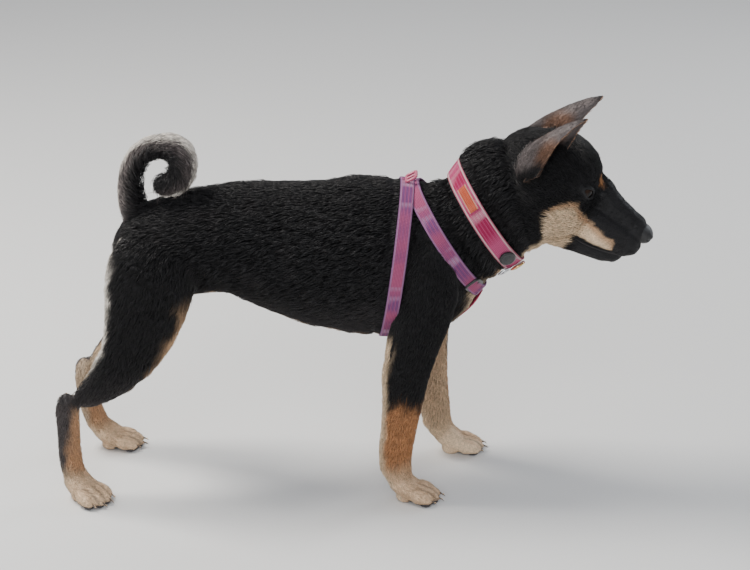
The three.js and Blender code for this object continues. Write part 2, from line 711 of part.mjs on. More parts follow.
const COLOURS = {
  collar_ring: RING_STEEL,
  name_tag: TAG_RED,
  collar: WEBBING_PINK,
  harness_girth: WEBBING_PINK,
  harness_neck: WEBBING_PINK,
  harness_breast: WEBBING_PINK,
  harness_slider: PLASTIC_BLACK,
  chest_slider: PLASTIC_BLACK,
  collar_buckle: PLASTIC_BLACK,
  torso: COAT_BLACK,
  neck: COAT_BLACK,
  head: COAT_BLACK,
  nose: NOSE_BLACK,
  ear_left: TAIL_GREY,
  ear_right: TAIL_GREY,
  eye_left: EYE_BROWN,
  eye_right: EYE_BROWN,
  tail_base: TAIL_GREY,
  tail_middle: TAIL_GREY,
  tail_tip: TAIL_GREY,
  foreleg_left: COAT_BLACK,
  foreleg_right: COAT_BLACK,
  thigh_left: COAT_BLACK,
  thigh_right: COAT_BLACK,
  shank_left: COAT_BLACK,
  shank_right: COAT_BLACK,
  hock_left: COAT_TAN,
  hock_right: COAT_TAN,
  forepaw_left: COAT_CREAM,
  forepaw_right: COAT_CREAM,
  hindpaw_left: COAT_CREAM,
  hindpaw_right: COAT_CREAM,
};

const dog = new THREE.Group();
function addNode(name, made, color, roughness = 0.85, metalness = 0) {
  const mesh = new THREE.Mesh(geometryOf(made), new THREE.MeshStandardMaterial({ color, roughness, metalness }));
  mesh.name = name;
  dog.add(mesh);
}
for (const [name, made] of Object.entries({ ...flesh, ...gear })) addNode(name, largest(made), COLOURS[name]);

// The origin is on the floor, under the middle of the whole animal.
const bounds = new THREE.Box3().setFromObject(dog);
const centre = bounds.getCenter(vector());
dog.position.set(-centre.x, -centre.y, -bounds.min.z);

export default dog;
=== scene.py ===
"""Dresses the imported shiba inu: one skin with a coat of tufts, eyes, nose, claws and webbing."""

import math

import bmesh
import bpy
import numpy as np
from bpy.props import FloatProperty, FloatVectorProperty, IntProperty, PointerProperty
from mathutils import Matrix, Vector
from mathutils.bvhtree import BVHTree


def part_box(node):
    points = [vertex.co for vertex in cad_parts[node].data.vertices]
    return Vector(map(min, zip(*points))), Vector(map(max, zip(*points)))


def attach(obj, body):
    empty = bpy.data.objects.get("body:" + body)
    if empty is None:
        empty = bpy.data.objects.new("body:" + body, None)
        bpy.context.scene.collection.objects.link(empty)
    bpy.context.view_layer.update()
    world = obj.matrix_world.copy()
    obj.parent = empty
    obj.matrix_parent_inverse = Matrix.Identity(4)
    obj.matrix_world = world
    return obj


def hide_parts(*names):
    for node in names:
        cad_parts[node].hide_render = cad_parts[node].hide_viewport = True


bl_info = {
    "name": "Shiba Inu Dresser",
    "version": (1, 0, 0),
    "blender": (4, 5, 0),
    "location": "View3D > Sidebar > Shiba",
    "description": "Builds the skin, coat, face, claws and webbing of a young shiba inu over its CAD frame",
    "category": "Object",
}

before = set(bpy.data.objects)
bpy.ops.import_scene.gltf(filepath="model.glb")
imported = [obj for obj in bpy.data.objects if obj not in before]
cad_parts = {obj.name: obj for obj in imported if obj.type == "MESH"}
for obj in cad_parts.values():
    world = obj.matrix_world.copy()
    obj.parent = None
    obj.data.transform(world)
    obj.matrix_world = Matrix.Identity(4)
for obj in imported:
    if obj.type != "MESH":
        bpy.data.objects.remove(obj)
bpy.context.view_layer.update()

MM = 0.001
BODY = "root"

# The middle of the animal's own measuring frame, seen from the middle of the whole box
SHIFT = Vector((21.13, 7.1, 0.0)) * MM

# Flesh nodes: coat depth, hair length, tuft width in mm, tufts on a square mm, smoothing share
REGIONS = {
    "torso": (4.6, 15.0, 1.15, 0.95, 1.0),
    "neck": (5.0, 15.0, 1.15, 1.0, 1.0),
    "head": (2.0, 7.0, 0.7, 1.7, 0.4),
    "ear_left": (0.5, 4.0, 0.5, 2.0, 0.12),
    "ear_right": (0.5, 4.0, 0.5, 2.0, 0.12),
    "tail_base": (4.0, 14.0, 1.0, 1.6, 0.6),
    "tail_middle": (3.8, 15.0, 1.0, 1.8, 0.6),
    "tail_tip": (3.8, 15.0, 1.0, 1.8, 0.6),
    "foreleg_left": (2.2, 8.0, 0.8, 1.2, 0.7),
    "foreleg_right": (2.2, 8.0, 0.8, 1.2, 0.7),
    "thigh_left": (3.6, 12.0, 1.0, 1.1, 1.0),
    "thigh_right": (3.6, 12.0, 1.0, 1.1, 1.0),
    "shank_left": (2.2, 8.0, 0.8, 1.2, 0.6),
    "shank_right": (2.2, 8.0, 0.8, 1.2, 0.6),
    "hock_left": (1.5, 6.0, 0.7, 1.3, 0.4),
    "hock_right": (1.5, 6.0, 0.7, 1.3, 0.4),
    "forepaw_left": (0.9, 4.0, 0.55, 1.6, 0.16),
    "forepaw_right": (0.9, 4.0, 0.55, 1.6, 0.16),
    "hindpaw_left": (0.9, 4.0, 0.55, 1.6, 0.16),
    "hindpaw_right": (0.9, 4.0, 0.55, 1.6, 0.16),
}
FLESH = list(REGIONS)
# The way the hair lies on each kind of flesh node, where it is the same all over it
HAIR_LIES = {
    "torso": (-1.0, 0.0, -0.3),
    "neck": (-0.75, 0.0, -0.65),
    "foreleg": (-0.25, 0.0, -1.0),
    "thigh": (-0.45, 0.0, -0.9),
    "shank": (-0.45, 0.0, -0.9),
    "hock": (0.05, 0.0, -1.0),
    "forepaw": (0.85, 0.0, -0.5),
    "hindpaw": (0.85, 0.0, -0.5),
}
FINE = ["head", "ear_left", "ear_right"]
# Hair shorter than this in mm is a plain point
SHORT_HAIR = 5.2
# Shares of depth, length and width that the coat keeps on the muzzle and on the lids
DEPTH_SHARES = (0.28, 0.2)
LENGTH_SHARES = (0.38, 0.4)
WIDTH_SHARES = (0.68, 0.75)
# Half of a tuft's patch in the bake map
HALF_PATCH = 0.0015

# The skin's smoothing rounds and triangles, for the body and for the head
BODY_SKIN = (70, 105000)
HEAD_SKIN = (40, 100000)
# How far in mm the skin is filled out at the muzzle's end and at the nape
MUZZLE_FILL = 1.7
NAPE_FILL = 6.5
NAPE = (-56, 0, 27)

# Colours of the eye by their share of half a turn away from the gaze
EYE_BANDS = (
    (0.19, (0.001, 0.001, 0.001)),
    (0.23, (0.014, 0.006, 0.003)),
    (0.5, (0.024, 0.010, 0.004)),
    (0.62, (0.006, 0.004, 0.003)),
    (0.78, (0.005, 0.004, 0.003)),
    (0.88, (0.05, 0.035, 0.03)),
)

# The head's own frame, x along the skull to the nose, in mm
HEAD_PLACE = Vector((170, 0, 290))
HEAD_PITCH = math.radians(28)
HEAD_YAW = math.radians(-3)
HEAD = (
    Matrix.Translation(SHIFT + HEAD_PLACE * MM)
    @ Matrix.Rotation(HEAD_YAW, 4, "Z")
    @ Matrix.Rotation(HEAD_PITCH, 4, "Y")
    @ Matrix.Scale(MM, 4)
)
NOSE_CENTRE = (88.2, 0, 5.0)
NOSE_RADII = (10.6, 11.4, 9.0)
EYE_RADIUS = 9.0
EYE_CENTRE = Vector((13.5, 24.5, 21.5))
EYE_GAZE = Vector((0.7, 0.7, 0.1)).normalized()
# The almond opening of the lids in mm: half its length, its rise above and its fall below
LIDS = (8.6, 4.7, 3.4)
# How much the outer corner of the opening is lifted
LID_SLANT = 0.28
# The upper edge of the pale mask, its x and z in the head's frame
MASK_EDGE = (
    [-8, 3, 11, 17, 21, 35, 49, 57, 64, 68, 71],
    [-6, 6, 10.5, 11.5, 4.5, -2.5, -7.5, -9.5, -10, -15, -40],
)
MOUTH_LINE = [(30, -25.4), (40, -26), (50, -26), (60, -25.2), (70, -23.6), (80, -20.8), (88, -18)]
EARS = (("ear_left", (-36, 29, 30), (-3, 37, 93)), ("ear_right", (-38, -31, 28), (-21, -45, 87)))

# Paws as in the frame: place in mm, turn in degrees and side
PAWS = {
    "forepaw_right": (24, 57.5, 8, -1),
    "forepaw_left": (71, 42, 6, 1),
    "hindpaw_right": (-287, 53.5, 34, -1),
    "hindpaw_left": (-273, 51, 4, 1),
}
TOES = [(-12.2, 30), (-4.4, 36), (4.4, 36), (12.2, 30)]

# Straps as in the frame: centre, normal and start direction in mm, width
COLLAR = (Vector((105, 0, 266)), Vector((0.836, 0, 0.548)), Vector((-0.548, 0, 0.836)), 18.0)
NECK_LOOP = (Vector((69, 0, 247)), Vector((0.84, 0, 0.543)), Vector((-0.543, 0, 0.84)), 13.0)
GIRTH = (Vector((20, 0, 226)), Vector((0.991, 0, -0.131)), Vector((0.131, 0, 0.991)), 13.0)
BREAST = (Vector((50, 0, 225)), Vector((0, 1, 0)), Vector((0, 0, -1)), 13.0)
WEBBING_THICKNESS = 1.7
# Rays start this far out in mm, and a hit nearer than this to the middle is none
RAY_REACH = 200
NEAREST_HIT = 5

# The middle of the tail's curl, x and z in mm, and how far its hair leans to the right
TAIL_HUB = (-198, 316)
TAIL_LEAN = 4.5

# The camera in metres, degrees and pixels, as fitted to the photo
CAMERA_AIM = 0.198
CAMERA_ELEVATION = 22.5
CAMERA_DISTANCE = 1.8
FOCAL_PIXELS = 1895
PHOTO_WIDTH = 750

WHISKER_SEED = 5

# Linear colours of the coat
BLACK = (0.0065, 0.006, 0.0068)
DARK_GREY = (0.03, 0.026, 0.027)
GREY = (0.15, 0.125, 0.12)
BROWN = (0.17, 0.075, 0.035)
TAN = (0.38, 0.18, 0.075)
INNER = (0.42, 0.24, 0.15)
ORANGE = (0.45, 0.21, 0.09)
FAWN = (0.52, 0.33, 0.19)
CREAM = (0.72, 0.54, 0.36)
WHITE = (0.82, 0.76, 0.68)

# Linear colours of the webbing: main, second, third and selvedge. The panel holds the collar's and the
# harness's main colour.
COLLAR_TINTS = ((0.62, 0.10, 0.24), (0.72, 0.34, 0.42), (0.76, 0.48, 0.50))
HARNESS_TINTS = ((0.48, 0.10, 0.22), (0.52, 0.30, 0.46), (0.40, 0.20, 0.36))
BREAST_TINTS = ((0.48, 0.02, 0.08), (0.58, 0.06, 0.14), (0.62, 0.14, 0.22), (0.55, 0.10, 0.18))
LABEL_TINTS = ((0.62, 0.11, 0.05), (0.66, 0.16, 0.09), (0.68, 0.20, 0.13), (0.74, 0.42, 0.36))


# Small helpers


def link(obj):
    bpy.context.scene.collection.objects.link(obj)
    return obj


def finished(name, mesh, finish):
    """A smooth object that shows a mesh in one finish."""
    mesh.polygons.foreach_set("use_smooth", [True] * len(mesh.polygons))
    mesh.materials.append(material(finish))
    return link(bpy.data.objects.new(name, mesh))


def mesh_from(bm, name):
    """A mesh from a bmesh, which is freed."""
    mesh = bpy.data.meshes.new(name)
    bm.to_mesh(mesh)
    bm.free()
    return mesh


def merge_into(bm, part):
    """Adds one bmesh to another and frees it."""
    mesh = mesh_from(part, "part")
    bm.from_mesh(mesh)
    bpy.data.meshes.remove(mesh)


def mesh_object(name, points, faces, finish):
    """A smooth mesh object from plain lists or arrays of points and faces."""
    mesh = bpy.data.meshes.new(name)
    mesh.from_pydata([tuple(point) for point in points], [], faces)
    mesh.validate()
    return finished(name, mesh, finish)


def triangles_object(name, points, triangles, finish):
    """A mesh object from numpy arrays of points and triangles, made without Python loops."""
    mesh = bpy.data.meshes.new(name)
    mesh.vertices.add(len(points))
    mesh.vertices.foreach_set("co", points.astype(np.float32).ravel())
    mesh.loops.add(triangles.size)
    mesh.loops.foreach_set("vertex_index", triangles.astype(np.int32).ravel())
    mesh.polygons.add(len(triangles))
    mesh.polygons.foreach_set("loop_start", np.arange(0, triangles.size, 3, dtype=np.int32))
    mesh.update(calc_edges=True)
    return finished(name, mesh, finish)


def apply_modifiers(obj):
    """Bakes an object's modifiers into its mesh."""
    graph = bpy.context.evaluated_depsgraph_get()
    graph.update()
    made = bpy.data.meshes.new_from_object(obj.evaluated_get(graph))
    old = obj.data
    obj.modifiers.clear()
    obj.data = made
    bpy.data.meshes.remove(old)
    return obj


def read(items, field, width, kind=np.float32):
    """One field of a mesh's items, a row of an array for each."""
    found = np.empty(len(items) * width, dtype=kind)
    items.foreach_get(field, found)
    return found.reshape(-1, width)


def points_of(mesh):
    return read(mesh.vertices, "co", 3).astype(float)


def edges_of(mesh):
    return read(mesh.edges, "vertices", 2, np.int32)


def normals_of(mesh):
    return read(mesh.vertices, "normal", 3).astype(float)


def set_points(mesh, points):
    mesh.vertices.foreach_set("co", points.astype(np.float32).ravel())
    mesh.update()


def neighbour_mean(values, edges):
    """For each point the mean of its neighbours' values."""
    total = len(values)
    count = np.maximum(np.bincount(edges.ravel(), minlength=total), 1)
    made = np.empty_like(values)
    for k in range(values.shape[1]):
        made[:, k] = np.bincount(edges[:, 0], values[edges[:, 1], k], total)
        made[:, k] += np.bincount(edges[:, 1], values[edges[:, 0], k], total)
    return made / count[:, None]


def relaxed(values, edges, rounds, share=0.5):
    for _ in range(rounds):
        values = values + share * (neighbour_mean(values, edges) - values)
    return values


def evened(points, edges, rounds, share):
    """Smooths small bumps away and gives the larger forms back, so that nothing shrinks."""
    total = np.zeros_like(points)
    left = points
    for _ in range(3):
        low = relaxed(left, edges, rounds, 0.5 * share)
        total += low
        left = left - low
    return total


def unit(vectors):
    length = np.linalg.norm(vectors, axis=-1, keepdims=True)
    return vectors / np.maximum(length, 1e-9)


def ramp(values, low, high):
    """0 below low, 1 above high, smooth between; low may be above high."""
    t = np.clip((values - low) / (high - low), 0, 1)
    return t * t * (3 - 2 * t)


def waves(points, scale, seed):
    """Smooth noise between -1 and 1 from a few crossed sine waves, points in mm."""
    rng = np.random.default_rng(seed)
    total = np.zeros(len(points))
    for _ in range(7):
        direction = rng.normal(size=3)
        direction /= np.linalg.norm(direction)
        pitch = scale * rng.uniform(0.6, 1.6)
        total += np.sin(points @ direction * (2 * math.pi / pitch) + rng.uniform(0, 6.3))
    return total / 4.2


def dog_mm(points):
    """Points of the row frame in the animal's own measuring frame, in mm."""
    return (points - np.array(SHIFT)) / MM


def main_axes(corners):
    """The directions of a cloud of points, the longest first and the thinnest last."""
    return np.linalg.svd(corners - corners.mean(axis=0), full_matrices=False)[2]


def node_object(name):
    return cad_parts[name]


def finish_piece(obj, replaces=()):
    """Tells the frame which body a piece rides on, which nodes it replaces."""
    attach(obj, BODY)
    if replaces:
        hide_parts(*replaces)
    return obj


# Materials


def new_material(name, roughness=0.5, **sockets):
    """A material with its Principled shader, and that shader's plain socket values set."""
    material = bpy.data.materials.new(name)
    material.use_nodes = True
    shader = material.node_tree.nodes["Principled BSDF"]
    shader.inputs["Roughness"].default_value = roughness
    for socket, value in sockets.items():
        shader.inputs[socket.replace("_", " ")].default_value = value
    return material, material.node_tree, shader


def noise(tree, vector, scale, detail=3.0, roughness=0.55):
    node = tree.nodes.new("ShaderNodeTexNoise")
    node.inputs["Scale"].default_value = scale
    node.inputs["Detail"].default_value = detail
    node.inputs["Roughness"].default_value = roughness
    tree.links.new(vector, node.inputs["Vector"])
    return node.outputs["Fac"]


def object_coordinates(tree):
    return tree.nodes.new("ShaderNodeTexCoord").outputs["Object"]


def attribute(tree, name):
    node = tree.nodes.new("ShaderNodeAttribute")
    node.attribute_name = name
    return node


def mapped(tree, value, low, high, out_low, out_high):
    node = tree.nodes.new("ShaderNodeMapRange")
    for socket, number in zip(("From Min", "From Max", "To Min", "To Max"), (low, high, out_low, out_high)):
        node.inputs[socket].default_value = number
    tree.links.new(value, node.inputs["Value"])
    return node.outputs["Result"]


def mixed(tree, factor, first, second):
    node = tree.nodes.new("ShaderNodeMix")
    node.data_type = "RGBA"
    for value, socket in ((factor, 0), (first, 6), (second, 7)):
        if isinstance(value, tuple):
            node.inputs[socket].default_value = (*value, 1.0)
        else:
            tree.links.new(value, node.inputs[socket])
    return node.outputs[2]


def toned(tree, colour, factor):
    """A colour made lighter or darker by a value that changes over the surface."""
    node = tree.nodes.new("ShaderNodeVectorMath")
    node.operation = "SCALE"
    tree.links.new(colour, node.inputs[0])
    tree.links.new(factor, node.inputs["Scale"])
    return node.outputs["Vector"]


def bands(tree, vector, direction, scale, distortion=0.0):
    """Even waves along one direction."""
    node = tree.nodes.new("ShaderNodeTexWave")
    node.bands_direction = direction
    node.inputs["Scale"].default_value = scale
    node.inputs["Distortion"].default_value = distortion
    tree.links.new(vector, node.inputs["Vector"])
    return node.outputs["Fac"]


def bumped(tree, shader, height, strength, distance):
    node = tree.nodes.new("ShaderNodeBump")
    node.inputs["Strength"].default_value = strength
    node.inputs["Distance"].default_value = distance
    tree.links.new(height, node.inputs["Height"])
    tree.links.new(node.outputs["Normal"], shader.inputs["Normal"])


def shared_group(name, inputs, outputs, wire):
    """A shader node group with named sockets, built once and then used again."""
    if name in bpy.data.node_groups:
        return bpy.data.node_groups[name]
    group = bpy.data.node_groups.new(name, "ShaderNodeTree")
    for way, sockets in (("INPUT", inputs), ("OUTPUT", outputs)):
        for label, kind in sockets.items():
            group.interface.new_socket(label, in_out=way, socket_type="NodeSocket" + kind)
    inside = group.nodes.new("NodeGroupInput")
    outside = group.nodes.new("NodeGroupOutput")
    wire(group, inside.outputs, outside.inputs)
    return group


def placed(tree, group, **values):
    """A group node in a material, with each named input linked or set."""
    node = tree.nodes.new("ShaderNodeGroup")
    node.node_tree = group
    for label, value in values.items():
        if isinstance(value, (int, float)):
            node.inputs[label].default_value = value
        else:
            tree.links.new(value, node.inputs[label])
    return node.outputs


def hair_group():
    """Fine streaks of light and dark over a coat colour, and their relief."""

    def wire(tree, given, made):
        streak = mapped(tree, noise(tree, given["Place"], 900, 2), 0.3, 0.7, 0.72, 1.3)
        tree.links.new(toned(tree, given["Colour"], streak), made["Colour"])
        tree.links.new(noise(tree, given["Place"], 1500, 3), made["Relief"])

    given = {"Place": "Vector", "Colour": "Color"}
    return shared_group("hair_streaks", given, {"Colour": "Color", "Relief": "Float"}, wire)


def leather_group():
    """The cells of bare skin as relief, and the patches where it is worn."""

    def wire(tree, given, made):
        cells = tree.nodes.new("ShaderNodeTexVoronoi")
        cells.feature = "DISTANCE_TO_EDGE"
        tree.links.new(given["Place"], cells.inputs["Vector"])
        tree.links.new(given["Grain"], cells.inputs["Scale"])
        tree.links.new(mapped(tree, cells.outputs["Distance"], 0.0, 0.25, 0.0, 1.0), made["Relief"])
        tree.links.new(noise(tree, given["Place"], 260), made["Wear"])

    given = {"Place": "Vector", "Grain": "Float"}
    return shared_group("leather_cells", given, {"Relief": "Float", "Wear": "Float"}, wire)


def scuff_group():
    """Fine scuffs on plastic, enamel, metal and floor."""

    def wire(tree, given, made):
        tree.links.new(noise(tree, given["Place"], 700, 5, 0.7), made["Scuffs"])

    return shared_group("scuffs", {"Place": "Vector"}, {"Scuffs": "Float"}, wire)


def coat_material(name, roughness):
    """Hair in the markings and painted shade that the points carry, with finer streaks of light and dark."""
    material, tree, shader = new_material(name, roughness, Specular_IOR_Level=0.35)
    colour = attribute(tree, "markings").outputs["Color"]
    hair = placed(tree, hair_group(), Place=object_coordinates(tree), Colour=colour)
    tree.links.new(hair["Colour"], shader.inputs["Base Color"])
    bumped(tree, shader, hair["Relief"], 0.5, 0.0004)
    return material


def leather_material(name, base, worn, grain, roughness):
    """Bare skin such as the nose, lids and lips: a cell grain with fine wear."""
    material, tree, shader = new_material(
        name, roughness, Specular_IOR_Level=0.5, Coat_Weight=0.1, Coat_Roughness=0.3
    )
    cells = placed(tree, leather_group(), Place=object_coordinates(tree), Grain=float(grain))
    tree.links.new(mixed(tree, cells["Wear"], base, worn), shader.inputs["Base Color"])
    rough = mapped(tree, cells["Wear"], 0.3, 0.7, roughness - 0.08, roughness + 0.12)
    tree.links.new(rough, shader.inputs["Roughness"])
    bumped(tree, shader, cells["Relief"], 0.55, 0.0003)
    return material


def eye_material():
    """Wet eye: black pupil, brown iris with radial threads, dark rim and a thin pale white."""
    material, tree, shader = new_material(
        "eye_wet", 0.2, Specular_IOR_Level=0.1, Coat_Weight=0.3, Coat_Roughness=0.02
    )
    bands_of_eye = tree.nodes.new("ShaderNodeValToRGB")
    tree.links.new(attribute(tree, "from_gaze").outputs["Fac"], bands_of_eye.inputs["Fac"])
    stops = bands_of_eye.color_ramp.elements
    stops[0].position = 0.0
    stops[0].color = (0.002, 0.002, 0.002, 1)
    stops[1].position = 1.0
    stops[1].color = (0.16, 0.12, 0.10, 1)
    for place, colour in EYE_BANDS:
        stops.new(place).color = (*colour, 1)
    threads = mapped(tree, noise(tree, object_coordinates(tree), 1800, 2), 0.4, 0.7, 0, 0.35)
    iris = mixed(tree, threads, bands_of_eye.outputs["Color"], (0.01, 0.005, 0.003))
    tree.links.new(iris, shader.inputs["Base Color"])
    return material


def claw_material():
    """Horn: dark at the root and paler to the tip, with lengthwise lines."""
    material, tree, shader = new_material("claw_horn", 0.35)
    along = attribute(tree, "along").outputs["Fac"]
    tree.links.new(mixed(tree, along, (0.03, 0.022, 0.018), (0.16, 0.12, 0.09)), shader.inputs["Base Color"])
    bumped(tree, shader, noise(tree, object_coordinates(tree), 2200), 0.3, 0.0002)
    return material


def weave_group():
    """The relief of warp and picks from a strap's lay."""

    def wire(tree, given, made):
        product = tree.nodes.new("ShaderNodeMath")
        product.operation = "MULTIPLY"
        for slot, (direction, scale) in enumerate((("X", 260), ("Y", 230))):
            tree.links.new(bands(tree, given["Lay"], direction, scale, 0.5), product.inputs[slot])
        tree.links.new(product.outputs["Value"], made["Relief"])

    return shared_group("weave", {"Lay": "Vector"}, {"Relief": "Float"}, wire)


def webbing_material(name, main, second, third, edge):
    """Woven webbing: blocks of three colours along it, lengthwise stripes, a paler selvedge and painted shade
    between the threads.
    """
    material, tree, shader = new_material(name, 0.75, Specular_IOR_Level=0.25)
    lay = attribute(tree, "lay").outputs["Vector"]
    relief = placed(tree, weave_group(), Lay=lay)["Relief"]
    flat = tree.nodes.new("ShaderNodeVectorMath")
    flat.operation = "MULTIPLY"
    flat.inputs[1].default_value = (1, 0.25, 0)
    tree.links.new(lay, flat.inputs[0])
    block = mapped(tree, noise(tree, flat.outputs["Vector"], 26, 1), 0.44, 0.56, 0, 1)
    pale = mapped(tree, noise(tree, flat.outputs["Vector"], 44, 2), 0.54, 0.64, 0, 0.85)
    colour = mixed(tree, pale, mixed(tree, block, main, second), third)
    across = attribute(tree, "selvedge").outputs["Fac"]
    stripes = mapped(tree, bands(tree, lay, "Y", 95), 0.45, 0.9, 0, 0.5)
    colour = mixed(tree, stripes, colour, second)
    colour = mixed(tree, mapped(tree, across, 0.72, 0.8, 0, 1), colour, edge)
    colour = mixed(tree, mapped(tree, across, 0.9, 0.95, 0, 0.8), colour, main)
    # Painted shade of the weave: darker between the threads and a little lighter on their crests
    shade = mapped(tree, relief, 0, 0.7, 0.55, 1.15)
    tree.links.new(toned(tree, colour, shade), shader.inputs["Base Color"])
    bumped(tree, shader, relief, 0.9, 0.0006)
    return material


def hard_material(name, base, roughness, metallic=0.0, wear=0.1):
    """Plastic or metal with faint scuffs in its colour and gloss."""
    material, tree, shader = new_material(name, roughness, Metallic=metallic)
    scuffs = placed(tree, scuff_group(), Place=object_coordinates(tree))["Scuffs"]
    light = tuple(min(1.0, c * 1.6 + 0.02) for c in base)
    worn = mapped(tree, scuffs, 0.55, 0.8, 0, wear * 4)
    tree.links.new(mixed(tree, worn, base, light), shader.inputs["Base Color"])
    rough = mapped(tree, scuffs, 0.3, 0.7, max(0.02, roughness - 0.06), roughness + wear)
    tree.links.new(rough, shader.inputs["Roughness"])
    bumped(tree, shader, scuffs, 0.08, 0.0002)
    return material


MATERIALS = {}


def material(name):
    """Each material is made once, when it is first asked for."""
    if name in MATERIALS:
        return MATERIALS[name]
    recipes = {
        "skin": (coat_material, "skin_under_coat", 0.62),
        "coat": (coat_material, "coat_hair", 0.46),
        "whisker": (hard_material, "whisker_hair", (0.03, 0.025, 0.025), 0.4),
        "nose": (leather_material, "nose_leather", (0.003, 0.003, 0.003), (0.008, 0.007, 0.008), 1100, 0.36),
        "rim": (leather_material, "bare_skin_rim", (0.008, 0.007, 0.008), (0.02, 0.015, 0.015), 1500, 0.35),
        "pad": (leather_material, "pad_leather", (0.02, 0.017, 0.017), (0.06, 0.05, 0.048), 900, 0.6),
        "eye": (eye_material,),
        "claw": (claw_material,),
        "collar": (webbing_material, "webbing_pink", panel_colour("collar"), *COLLAR_TINTS),
        "harness": (webbing_material, "webbing_mauve", panel_colour("harness"), *HARNESS_TINTS),
        "breast": (webbing_material, "webbing_red", *BREAST_TINTS),
        "label": (webbing_material, "label_patch", *LABEL_TINTS),
        "rose": (hard_material, "plastic_rose", (0.45, 0.09, 0.16), 0.3),
        "plastic": (hard_material, "plastic_black", (0.012, 0.012, 0.013), 0.28),
        "steel": (hard_material, "ring_steel", (0.72, 0.73, 0.75), 0.16, 1.0, 0.08),
        "gilt": (hard_material, "ring_gilt", (0.85, 0.6, 0.25), 0.2, 1.0, 0.08),
        "tag": (hard_material, "tag_enamel", (0.42, 0.07, 0.045), 0.22),
        "floor": (hard_material, "floor_pale", (0.72, 0.72, 0.71), 0.6),
    }
    maker, *values = recipes[name]
    MATERIALS[name] = maker(*values)
    return MATERIALS[name]


# Markings and painted shade


def head_local(points):
    """Points of the row frame in the head's own frame, in mm."""
    inverse = np.array(HEAD.inverted())
    return points @ inverse[:3, :3].T + inverse[:3, 3]


def among(regions, *names):
    """1 at the points of the named flesh nodes, and 0 elsewhere."""
    return np.isin(regions, [FLESH.index(name) for name in names]).astype(float)


def along_ear(local, root, tip):
    """How far up an ear the points lie, from 0 at its root to 1 at its tip, and what is left across it."""
    axis = np.array(tip) - np.array(root)
    away = local - np.array(root)
    along = away @ axis / (axis @ axis)
    return along, away - along[:, None] * axis


def ear_facing(normals):
    """How much the points of an ear face forward, as the inside of its cup does."""
    return normals @ np.array(HEAD.to_3x3().normalized() @ Vector((1, 0, -0.1)))


def off_curl(mm, normals):
    """1 where the tail faces out of its curl, and -1 where it faces in."""
    outward = np.column_stack([mm[:, 0] - TAIL_HUB[0], np.zeros(len(mm)), mm[:, 2] - TAIL_HUB[1]])
    return np.sum(unit(outward) * normals, axis=1)


def panel_colour(name):
    """One of the colours that the panel sets."""
    return tuple(getattr(bpy.context.scene.shiba_colours, name))


def layered(colours, *layers):
    """Lays tints over the colours in turn, each as strongly as its mask says."""
    for mask, tint in layers:
        colours = colours + np.clip(mask, 0, 1)[:, None] * (np.array(tint) - colours)
    return colours


def face_markings(colours, local, own):
    """The pale cheek and lip patch, brow spots and throat of a black and tan dog, with its dark lips."""
    x, y, z = local[:, 0], np.abs(local[:, 1]), local[:, 2]
    rough = waves(local, 8, 11)
    edge = np.interp(x, *MASK_EDGE)
    back = np.interp(z, [-60, -37, -20, -4], [-4, 6, -2, -7])
    below = ramp(edge - z + rough * 1.2, -1.2, 1.8)
    patch = below * ramp(x - back + waves(local, 12, 12) * 1.5, -2.5, 3) * ramp(y, 2, 7)
    lip = ramp(lip_height(x) + 1.6 - z + rough * 0.6, -1, 0.8) * ramp(x + rough, 29, 33)
    under = ramp(z, -38, -46) * ramp(x, 46, 30)
    pale = patch * (1 - lip * (1 - under)) * own
    spot = np.sqrt(((x - 28) / 6.0) ** 2 + ((y - 10.8) / 4.0) ** 2 + ((z - 32) / 5.5) ** 2)
    return layered(
        colours,
        (pale, panel_colour("cream")),
        (pale * ramp(edge - z, 9, 1) * 0.7, TAN),
        (ramp(spot + rough * 0.06, 1.15, 0.65) * own * 0.9, panel_colour("orange")),
    )


def ear_markings(colours, local, regions, normals, fine):
    """Grey backs with a brown patch and a dark front edge and tip, and tan inside the cup with painted shade
    low in it.
    """
    facing = ear_facing(normals)
    black = panel_colour("black")
    for name, root, tip in EARS:
        here = among(regions, name)
        along, off = along_ear(local, root, tip)
        ahead = off[:, 0]
        brown = ramp(np.hypot((along - 0.28) / 0.3, (ahead + 3) / 11) + fine * 0.08, 1.1, 0.5)
        colours = layered(
            colours,
            (here * 0.85, GREY),
            (here * brown * 0.75, BROWN),
            (here * ramp(ahead + fine * 1.5, 3, 9) * 0.9, black),
            (here * ramp(along + fine * 0.03, 0.8, 1.0) * 0.8, black),
            (here * ramp(along + fine * 0.04, 0.16, 0.02) * ramp(ahead, -9, -3), black),
            (here * ramp(facing + fine * 0.1, 0.3, 0.6), INNER),
            # Painted shade low inside the ear's cup
            (here * ramp(facing, 0.3, 0.6) * ramp(along, 0.45, 0.1) * 0.7, DARK_GREY),
        )
    return colours


def toe_clefts(points, regions):
    """The painted shade between the toes, from the paws' own places and turns."""
    shade = np.zeros(len(points))
    for name, (x, y, turn, side) in PAWS.items():
        here = regions == FLESH.index(name)
        mm = dog_mm(points[here]) - [x, y * side, 0]
        angle = math.radians(turn * side)
        ahead = mm[:, 0] * math.cos(angle) + mm[:, 1] * math.sin(angle)
        across = mm[:, 1] * math.cos(angle) - mm[:, 0] * math.sin(angle)
        gap = np.min(np.abs(np.abs(across)[:, None] - [0, 8.3]), axis=1)
        shade[here] = ramp(gap, 1.5, 0.3) * ramp(ahead, 14, 22) * ramp(mm[:, 2], 24, 18)
    return shade


